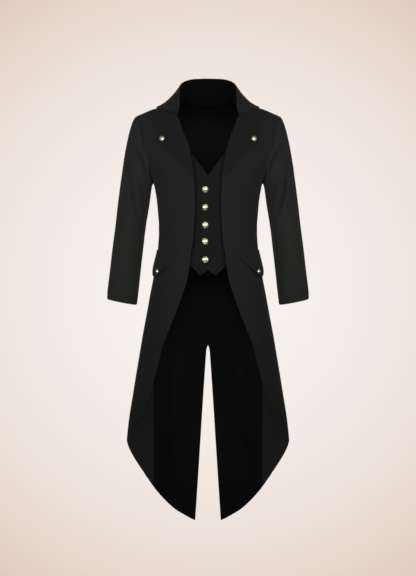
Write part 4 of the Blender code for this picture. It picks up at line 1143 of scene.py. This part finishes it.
def collar_section(share, line):
    """Middle line of the collar from the neckline up, over the roll and down to the leaf edge."""
    run = run_of(line[0])
    point, normal, away = (between(share * (run[-1] - COLLAR_END_GAP), run, rows) for rows in line)
    base = (point + (SEAM_GAP + COLLAR_CLOTH / 2 + COLLAR_SEAT) * unit(away)
            - CLOTH / 2 * unit(normal))
    guides = np.array([Curve(COLLAR_GUIDES, column)(share) for column in range(1, 7)])
    roll, leaf = guides[:3], guides[3:]
    radius = COLLAR_ROLL_RADIUS
    rise = unit(roll - base)
    fall = leaf - roll
    outward = unit(fall - np.dot(fall, rise) * rise)
    bend_start = roll - radius * rise - radius * COLLAR_ROLL_LEAN * outward
    stand = np.linspace(0.0, 1.0, COLLAR_STAND_STEPS + 1)[:, None]
    bow = COLLAR_STAND_BOW * np.sin(math.pi * stand) * outward
    centre = bend_start + radius * outward
    toward_leaf = unit(leaf - centre)
    turn = math.atan2(np.dot(toward_leaf, outward), np.dot(toward_leaf, rise))
    angles = turn * np.linspace(0.0, 1.0, COLLAR_ARC_STEPS + 1)[1:, None]
    arc = centre - radius * np.cos(angles) * outward + radius * np.sin(angles) * rise
    bend_end = arc[-1]
    length = np.linalg.norm(leaf - bend_end)
    leave = math.sin(turn) * outward + math.cos(turn) * rise
    arrive = unit(leaf - bend_end + COLLAR_LEAF_TURN * length * outward)
    part = np.linspace(0.0, 1.0, COLLAR_FALL_STEPS + 1)[1:, None]
    part = part + 0.22 * np.sin(math.pi * part) * (1 - part) * part * 4
    return np.concatenate((base + (bend_start - base) * stand - bow, arc,
                           hermite(part, bend_end, leaf, leave * length, arrive * length)))


def make_collar(*body):
    """Collar with its stand, roll and fall in one sheet."""
    line = neck_line(*body)
    half = np.array([collar_section(share, line) for share in packed_late(COLLAR_STATIONS)])
    half[0, :, 0] = 0.0
    whole = np.concatenate((half[:0:-1] * FLIP, half))
    out = unit(np.cross(np.gradient(whole, axis=0), np.gradient(whole, axis=1)))
    if out[len(whole) // 2, 0, 1] < 0:
        out = -out
    fall = np.arange(whole.shape[1]) / (whole.shape[1] - 1)
    edges = ((0, False), (0, True), (1, True))
    wave = np.sin(whole[..., 0] / COLLAR_WAVE_ACROSS + whole[..., 2] / COLLAR_WAVE_UP)
    relief = stitch_dips(whole, edges) + COLLAR_WAVE * wave * ease((fall - 0.4) / 0.3)
    moved = whole - relief[..., None] * out
    # The inner face of the stand and half the roll is painted near black: painted shade inside the
    # neck
    inside = np.zeros((len(whole) - 1, whole.shape[1] - 1), bool)
    inside[:, :COLLAR_STAND_STEPS + COLLAR_ARC_STEPS // 2] = True
    inner, outer = moved - COLLAR_CLOTH / 2 * out, moved + COLLAR_CLOTH / 2 * out
    shell("collar", outer, inner, "outer_suiting", edge_nearness(whole, edges),
          ("collar_inside_shade", inside, "outer_suiting"))
    GRIDS["collar"] = (inner, -out)


def lapel_plan(edge):
    """Rows of X and Z pairs over the lapel, from the front's own edge to the lapel's."""
    outer = np.concatenate((smooth_line(LAPEL_OUTER_EDGE, packed(LAPEL_OUTER_ROWS + 1)),
                            smooth_line(LAPEL_LOWER_EDGE, packed(LAPEL_LOWER_ROWS + 1))[1:]))
    roll_z = np.linspace(LAPEL_TOP_EDGE[0][1], LAPEL_LOWER_EDGE[-1][1], len(outer))
    roll = between(roll_z, edge[:, 2], edge)[:, ::2]
    shares = packed(LAPEL_COLUMNS + 1)[:, None]
    bow = smooth_line(LAPEL_TOP_EDGE, shares[:, 0]) - roll[0] - shares * (outer[0] - roll[0])
    bow[0] = 0.0
    fade = np.maximum(1 - np.arange(len(outer)) / LAPEL_OUTER_ROWS, 0.0) ** LAPEL_BOW_FADE
    return roll[:, None] + shares * (outer - roll)[:, None] + fade[:, None, None] * bow


def make_lapels(front):
    """Lapels: a sheet that turns round the roll line and lies back on the front."""
    edge = front[-UPPER_ROWS:, 0]
    plan = lapel_plan(edge)
    roll = between(plan[:, 0, 1], edge[:, 2], edge)
    level = level_at(plan[..., 0], plan[..., 1])
    points = lifted_front(plan[..., 0], level)
    normals = surface_normal(plan[..., 0], level, True)
    points = points + unevenness(points)[..., None] * normals
    points[:, 0] = roll
    beyond = unit(np.cross(unit(np.gradient(roll, axis=0)), normals[:, 0]))
    if np.sum(dot(beyond, points[:, -1] - roll)) > 0:
        beyond = -beyond
    distance = np.linalg.norm(points - points[:, :1], axis=-1)
    to_edge = from_border(points, 1, True)
    roll_seat = -CLOTH / 2 + 2 * LAPEL_ROLL_RADIUS
    top = ease((plan[:, -1, 1] - 2 * LAPEL_TOP_SEAT_LEVEL) / -LAPEL_TOP_SEAT_LEVEL)[:, None]
    seat = LAPEL_SEAT + LAPEL_TOP_SEAT * top + CLOTH / 2
    height = seat + (roll_seat - seat) * (1 - ease(distance / LAPEL_ROLL_EASE))
    edges = ((0, False), (1, True))
    low = ease((LAPEL_CURL_TOP - points[..., 2]) / LAPEL_CURL_FADE)
    low *= ease(distance / LAPEL_CURL_REACH)
    height += LAPEL_PUFF * ease(distance / LAPEL_PUFF_WIDTH) * ease(to_edge / LAPEL_PUFF_WIDTH)
    height += LAPEL_CURL * (1 - ease(to_edge / LAPEL_CURL_WIDTH)) * low
    height += stitch_dips(points, edges)
    angles = math.pi * np.arange(LAPEL_ROLL_STEPS) / LAPEL_ROLL_STEPS - math.pi / 2
    way = (np.cos(angles)[None, :, None] * beyond[:, None]
           + np.sin(angles)[None, :, None] * normals[:, None, 0])
    out = np.concatenate((way, normals), axis=1)
    for side in (0, 1):
        relief = crease_height(points, varied(LAPEL_CREASES, LAPEL_SEED, side))
        relief *= ease(distance / LAPEL_CREASE_REACH)
        relief = np.maximum(relief, -LAPEL_CREASE_LIMIT * LAPEL_SEAT)
        flat = points + (height + relief)[..., None] * normals
        flat[:, 0] = roll + LAPEL_SEAM_GAP * beyond + roll_seat * normals[:, 0]
        centre = flat[:, 0] - LAPEL_ROLL_RADIUS * normals[:, 0]
        middle = np.concatenate((centre[:, None] + LAPEL_ROLL_RADIUS * way, flat), axis=1)
        # Lapels in a darker copy of the suiting: painted shade under the collar
        paired("lapel", side, middle + CLOTH / 2 * out, middle - CLOTH / 2 * out, out,
               "lapel_shaded_suiting", edge_nearness(middle, edges))


def waistcoat_hem(x):
    """Height of the waistcoat's hem, with a point on each side of the middle."""
    point_x, point_z = WAISTCOAT_POINT
    across = np.abs(x)
    notch = WAISTCOAT_NOTCH_LEVEL + (point_z - WAISTCOAT_NOTCH_LEVEL) * across / point_x
    return np.where(across < point_x, notch, point_z + WAISTCOAT_HEM_SLOPE * (across - point_x))


def waistcoat_panel(columns, is_over):
    """Outer face and normals of a waistcoat panel over the given distances from the middle."""
    steps = np.arange(len(columns))
    fine = np.linspace(0, steps[-1], steps[-1] * WAISTCOAT_COLUMNS_EACH + 1)
    x = np.tile(np.interp(fine, steps, columns), (WAISTCOAT_ROWS + 1, 1))
    hem, top = waistcoat_hem(x), WAISTCOAT_V_LEVEL + WAISTCOAT_V_SLOPE * np.abs(x)
    level = hem + (top - hem) * packed(WAISTCOAT_ROWS + 1)[:, None]
    beside = np.abs(x) - front_edge(level) + 0.75 * WAISTCOAT_HOLLOW_WIDTH
    seat = WAISTCOAT_SEAT + WAISTCOAT_HOLLOW * ease(beside / WAISTCOAT_HOLLOW_WIDTH)
    if is_over:
        seat -= WAISTCOAT_LAP_SINK * dip(x - columns[0], WAISTCOAT_LAP_WIDTH)
    else:
        past = (np.abs(np.minimum(x, 0.0)) - WAISTCOAT_UNDERLAY_END) / WAISTCOAT_UNDERLAY_FADE
        seat += WAISTCOAT_UNDERLAY * (1 - ease(past))
    normal = surface_normal(x, level, True)
    return skin(x, level, True) - seat[..., None] * normal, normal


def make_waistcoat():
    """Two waistcoat panels; the wearer's left laps over the right."""
    panels = (("vest_left", WAISTCOAT_OVER, True), ("vest_right", WAISTCOAT_UNDER, False))
    edges = ((0, False), (0, True))
    for name, columns, is_over in panels:
        outer, out = waistcoat_panel(columns, is_over)
        relief = crease_height(outer, WAISTCOAT_CREASES, is_mirrored=False)
        relief *= ease(from_border(outer, 0, False) / WAISTCOAT_HEM_FADE)
        relief += stitch_dips(outer, edges)
        outer = outer + relief[..., None] * out
        lap = dip(from_border(outer, 1, False), WAISTCOAT_LAP_WIDTH)[..., None]
        thickness = WAISTCOAT_CLOTH * (1 + WAISTCOAT_LAP_THINNING * lap)
        # A darker copy of the suiting: painted shade on the waistcoat under the coat's fronts
        shell(name, outer, outer - thickness * out, "waistcoat_shaded_suiting",
              edge_nearness(outer, edges))
        GRIDS[name] = (outer, out)


def flap_point(distance, drop):
    """Point of the flap's inner face and its normal, a drop below the flap's top."""
    level = FLAP_TOP_LEVEL - drop
    angles = FLAP_TIP_ANGLE + FLAP_REACH_ANGLE * np.linspace(-1.0, 1.0, 101)
    run = run_of(skin_round(angles, level))
    angle = np.interp(np.interp(FLAP_TIP_ANGLE, angles, run) + distance, run, angles)
    across = skin_round(angle + 0.5, level) - skin_round(angle - 0.5, level)
    upward = skin_round(angle, level + 1.0) - skin_round(angle, level - 1.0)
    normal = unit(np.cross(across, upward))
    lift = FLAP_SEAT + FLAP_FLARE * (drop / FLAP_TIP_HEIGHT) ** FLAP_FLARE_POWER
    return skin_round(angle, level) + lift * normal, normal


def make_flaps():
    """Pointed pocket flaps that wrap round the hips."""
    parts = np.interp(packed(FLAP_COLUMNS), (0, 0.5, 1), (-1, 0, 1)) * FLAP_HALF_LENGTH
    past = np.maximum(np.abs(parts) - FLAP_TIP_FLAT, 0.0) / (FLAP_HALF_LENGTH - FLAP_TIP_FLAT)
    heights = FLAP_TIP_HEIGHT - (FLAP_TIP_HEIGHT - FLAP_END_HEIGHT) * past
    found = np.array([[flap_point(part, share * height) for part, height in zip(parts, heights)]
                      for share in packed(FLAP_ROWS + 1)])
    inner, out = found[:, :, 0], found[:, :, 1]
    edges = ((0, True), (1, False), (1, True))
    relief = unevenness(inner) + stitch_dips(inner, edges)
    inner = inner + relief[..., None] * out
    near = edge_nearness(inner, edges)
    for side in (0, 1):
        paired("flap", side, inner + CLOTH * out, inner, out, "outer_suiting", near)


def make_button(name, diameter, seat, facing):
    """Turned button with a raised rim, whose back rests just above a point of the cloth."""
    aim = np.array(Vector(facing).to_track_quat("Z", "Y").to_matrix())
    turns = np.arange(BUTTON_STEPS) * math.tau / BUTTON_STEPS
    reach, height = ((diameter / 2, 1.0) * np.array(BUTTON_PROFILE)).T[:, :, None]
    rings = np.stack(np.broadcast_arrays(reach * np.cos(turns), reach * np.sin(turns), height), -1)
    points = np.concatenate((rings[0, :1], rings[1:-1].reshape(-1, 3), rings[-1, :1]))
    faces = []
    last = 1 + (len(BUTTON_PROFILE) - 3) * BUTTON_STEPS
    for step in range(BUTTON_STEPS):
        after = (step + 1) % BUTTON_STEPS
        faces.append((0, 1 + step, 1 + after))
        for near in range(1, last, BUTTON_STEPS):
            far = near + BUTTON_STEPS
            faces.append((near + step, far + step, far + after, near + after))
        faces.append((last + after, last + step, len(points) - 1))
    made = add_piece("dome_", name, points @ aim.T + seat + BUTTON_SEAT * facing, faces,
                     ("pale_gold",))
    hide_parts(name)


def make_buttons():
    """Five waistcoat buttons, one near each lapel's tip and one on each flap's point."""
    for number, level in enumerate(WAISTCOAT_BUTTON_LEVELS, start=1):
        facing = surface_normal(WAISTCOAT_BUTTON_X, level, True)
        seat = skin(WAISTCOAT_BUTTON_X, level, True) - WAISTCOAT_SEAT * facing
        make_button(f"button_vest_{number}", WAISTCOAT_BUTTON_DIAMETER, seat, facing)
    diameter, x, z = LAPEL_BUTTON
    level = level_at(x, z)
    facing = surface_normal(x, level, True)
    seat = lifted_front(x, level) + (LAPEL_SEAT + CLOTH + LAPEL_PUFF / 2) * facing
    make_button_pair("button_lapel", diameter, seat, facing)
    diameter, x, z = FLAP_BUTTON
    found = np.array([flap_point(distance, FLAP_TOP_LEVEL - z)
                      for distance in np.linspace(-20.0, 20.0, 81)])
    seats = found[:, 0] + CLOTH * found[:, 1]
    best = np.argmin(np.abs(seats[:, 0] - x))
    make_button_pair("button_flap", diameter, seats[best], found[best, 1])


def make_button_pair(stem, diameter, seat, facing):
    """The same button on both sides of the wearer."""
    make_button(stem + "_left", diameter, seat, facing)
    make_button(stem + "_right", diameter, seat * FLIP, facing * FLIP)


def offset_line(name, axis, at_end, offset, keep=(0.0, 1.0)):
    """Points and normals along a border of a piece's grid, an offset in from it."""
    values = [*GRIDS[name], from_border(GRIDS[name][0], axis, at_end)]
    if axis == 0:
        values = [np.swapaxes(value, 0, 1) for value in values]
    if at_end:
        values = [value[:, ::-1] for value in values]
    grid, out, distance = values
    first, last = (int(round(share * (len(grid) - 1))) for share in keep)
    points, normals = (np.array([between(offset, distance[row], value[row])
                                 for row in range(first, last + 1)]) for value in (grid, out))
    return points, unit(normals)


def make_stitching(name, lines):
    """Rows of separate stitches along lines of points and normals, as one piece."""
    points = []
    for line, normals in lines:
        run = run_of(line)
        at = np.arange(HEM_STITCH, run[-1] - HEM_STITCH, STITCH_PITCH)
        first, last = (between(at + shift * STITCH_LENGTH, run, line) for shift in (-0.5, 0.5))
        up = unit(between(at, run, normals))
        across = unit(np.cross(last - first, up)) * STITCH_RADIUS
        middle = (first + last) / 2 + STITCH_RADIUS * 0.5 * up
        points.append(np.stack((
            first - STITCH_SINK * up, middle + across, middle + STITCH_RADIUS * up,
            middle - across, middle - STITCH_RADIUS * up, last - STITCH_SINK * up,
        ), axis=1).reshape(-1, 3))
    points = np.concatenate(points)
    starts = np.arange(0, len(points), 6)[:, None, None]
    faces = (starts + np.array(STITCH_FACES)).reshape(-1, 3)
    return add_piece("", name, points, faces.tolist(), ("black_thread",))


def make_threads():
    """Stitching along the edges that the photo shows sewn, and the same on hidden ones."""
    made = {}
    for stem, borders in STITCHED.items():
        for side in (("",) if stem == "collar" else SIDES):
            lines = [offset_line(stem + side, *border) for border in borders]
            made[stem + side] = make_stitching("stitching_" + stem + side, lines)
    return made


def feed(tree, target, inputs):
    """Puts values, or links from other nodes' outputs, on a node's inputs by place or name."""
    for place, value in inputs.items():
        if isinstance(value, bpy.types.NodeSocket):
            tree.links.new(value, target.inputs[place])
        else:
            target.inputs[place].default_value = value


def node(tree, kind, inputs, output=0, **settings):
    """Adds a shader node with its settings and inputs; returns one of its outputs."""
    made = tree.nodes.new("ShaderNode" + kind)
    for label, value in settings.items():
        setattr(made, label, value)
    feed(tree, made, inputs)
    return made.outputs[output]


def times(tree, first, second):
    """Product of two sockets, or of a socket and a number."""
    return node(tree, "Math", {0: first, 1: second}, operation="MULTIPLY")


def noise(tree, place, scale, detail, roughness=0.55):
    """Noise over a place socket."""
    return node(tree, "TexNoise", {"Vector": place, "Scale": scale, "Detail": detail,
                                   "Roughness": roughness}, "Fac")


def spread(tree, value, low, high):
    """A value from 0 to 1 spread between two numbers."""
    return node(tree, "MapRange", {"Value": value, "To Min": low, "To Max": high})


def mixed(tree, share, first, second):
    """Colour between two colours."""
    colours = {"Factor": share, "A": (*first, 1.0), "B": (*second, 1.0)}
    return node(tree, "Mix", colours, "Result", data_type="RGBA")


def new_look(name):
    """Material, kept by its name, with its tree and its shader."""
    look = bpy.data.materials.new(name)
    look.use_nodes = True
    LOOKS[name] = look
    return look.node_tree, look.node_tree.nodes["Principled BSDF"]


def cloth_look(name, base_colour, wear_and_sheen, roughness, sheen, pitch, relief):
    """Woven cloth: twill lines, slubs, slow shading of the dye and paler edges of rubbed wear with
    a painted sheen.
    """
    tree, shader = new_look(name)
    place = node(tree, "UVMap", {}, uv_map="cloth")
    solid = node(tree, "TexCoord", {}, "Object")
    turned = node(tree, "Mapping", {"Vector": place,
                                    "Rotation": (0.0, 0.0, math.radians(TWILL_ANGLE))})
    ribs = node(tree, "TexWave", {"Vector": turned, "Scale": math.tau / (20 * pitch),
                                  "Distortion": 0.6, "Detail": 1.0, "Detail Scale": 2.0}, "Fac")
    yarn = noise(tree, place, 1.0 / (3 * pitch), 2.0)
    slubs = noise(tree, solid, 90.0, 4.0, 0.6)
    slow = noise(tree, solid, 5.5, 2.0)
    shade = spread(tree, slow, 1 - DYE_VARIATION, 1 + DYE_VARIATION)
    for value, low, high in ((slubs, 0.86, 1.14), (ribs, 0.90, 1.10)):
        shade = times(tree, shade, spread(tree, value, low, high))
    # Paler free edges: rubbed wear with a painted sheen, broken up by the slubs
    edge = node(tree, "Attribute", {}, "Fac", attribute_name="edge")
    rubbed_wear_and_sheen = times(tree, edge, spread(tree, slubs, 0.2, 0.9))
    height = ribs
    for value, share in ((yarn, 0.7), (slubs, 0.5)):
        height = node(tree, "Math", {0: height, 1: times(tree, value, share)}, operation="ADD")
    feed(tree, shader, {
        "Base Color": node(tree, "VectorMath", {0: mixed(tree, rubbed_wear_and_sheen, base_colour, wear_and_sheen), "Scale": shade},
                           operation="SCALE"),
        "Roughness": spread(tree, slow, roughness - 0.05, roughness + 0.05),
        "Normal": node(tree, "Bump", {"Height": height, "Strength": relief, "Distance": 0.0004}),
        "Sheen Weight": sheen,
        "Sheen Roughness": 0.5,
        "Sheen Tint": (1.0, 0.99, 0.97, 1.0),
        "Specular IOR Level": 0.06,
    })


def brass_look():
    """Pale gold metal with fine scratches and a dull film in places."""
    tree, shader = new_look("pale_gold")
    solid = node(tree, "TexCoord", {}, "Object")
    film = noise(tree, solid, 260.0, 4.0)
    stretched = node(tree, "Mapping", {"Vector": solid, "Scale": (1.0, 1.0, 9.0)})
    scratches = noise(tree, stretched, 900.0, 2.0)
    feed(tree, shader, {
        "Base Color": mixed(tree, spread(tree, film, -0.3, 0.9), PALE_GOLD, DULL_GOLD),
        "Roughness": spread(tree, film, 0.2, 0.38),
        "Normal": node(tree, "Bump", {"Height": scratches, "Strength": 0.15, "Distance": 0.0001}),
        "Metallic": 1.0,
    })


def make_camera():
    """Camera straight in front, with the photo's frame."""
    data = bpy.data.cameras.new("camera")
    data.sensor_fit = "VERTICAL"
    data.sensor_height = SENSOR_HEIGHT
    data.lens = SENSOR_HEIGHT * CAMERA_DISTANCE / FRAME_HEIGHT
    camera = linked("camera", data)
    camera.location = (0.0, -CAMERA_DISTANCE, FRAME_CENTRE_Z)
    camera.rotation_euler = (math.radians(90), 0.0, 0.0)
    bpy.context.scene.camera = camera


def make_light(name, place, size, power, aim, spread_angle):
    """Large soft light that faces a point."""
    data = bpy.data.lights.new(name, "AREA")
    data.shape = "RECTANGLE"
    data.size, data.size_y = size
    data.energy = power
    data.spread = math.radians(spread_angle)
    light = linked(name, data)
    light.location = place
    light.rotation_euler = (Vector(aim) - Vector(place)).to_track_quat("-Z", "Y").to_euler()


def make_studio():
    """Pale floor, pale surroundings and soft lights."""
    floor = linked("floor", bpy.data.meshes.new("floor"))
    disc = bmesh.new()
    bmesh.ops.create_circle(disc, cap_ends=True, radius=FLOOR_RADIUS, segments=96)
    disc.to_mesh(floor.data)
    disc.free()
    floor.location = (0.0, 0.0, FLOOR_LEVEL)
    tree, shader = new_look("floor_paint")
    feed(tree, shader, {"Base Color": (*FLOOR_PAINT, 1.0), "Roughness": 0.8})
    floor.data.materials.append(LOOKS["floor_paint"])

    world = bpy.data.worlds.new("surroundings")
    bpy.context.scene.world = world
    world.use_nodes = True
    tree = world.node_tree
    tree.nodes.clear()
    way = node(tree, "TexCoord", {}, "Generated")
    ahead = node(tree, "VectorMath", {0: way, 1: BACKDROP_WAY}, "Value", operation="DOT_PRODUCT")
    reach = node(tree, "MapRange", {"Value": ahead, "From Max": 1.0,
                                    "From Min": math.cos(math.radians(BACKDROP_REACH))})
    seen = node(tree, "Background", {"Color": mixed(tree, reach, BACKDROP_EDGE, BACKDROP_MIDDLE)})
    upward = node(tree, "SeparateXYZ", {"Vector": way}, "Z")
    risen = node(tree, "MapRange", {"Value": upward, "From Min": AMBIENT_RISE[0],
                                    "From Max": AMBIENT_RISE[1]})
    lit = node(tree, "Background", {"Color": mixed(tree, risen, AMBIENT_BELOW, AMBIENT_ABOVE)})
    is_seen = node(tree, "LightPath", {}, "Is Camera Ray")
    surface = node(tree, "MixShader", {0: is_seen, 1: lit, 2: seen})
    feed(tree, tree.nodes.new("ShaderNodeOutputWorld"), {"Surface": surface})
    for light in LIGHTS:
        make_light(*light)
    bpy.context.scene.view_settings.view_transform = "Standard"


for look_name, (_, *values) in CLOTHS.items():
    cloth_look(look_name, *values)
brass_look()
make_camera()
coat = make_body()
make_sleeves(*coat)
make_collar(*coat)
make_lapels(coat[0])
make_waistcoat()
make_flaps()
make_buttons()
make_threads()
make_studio()
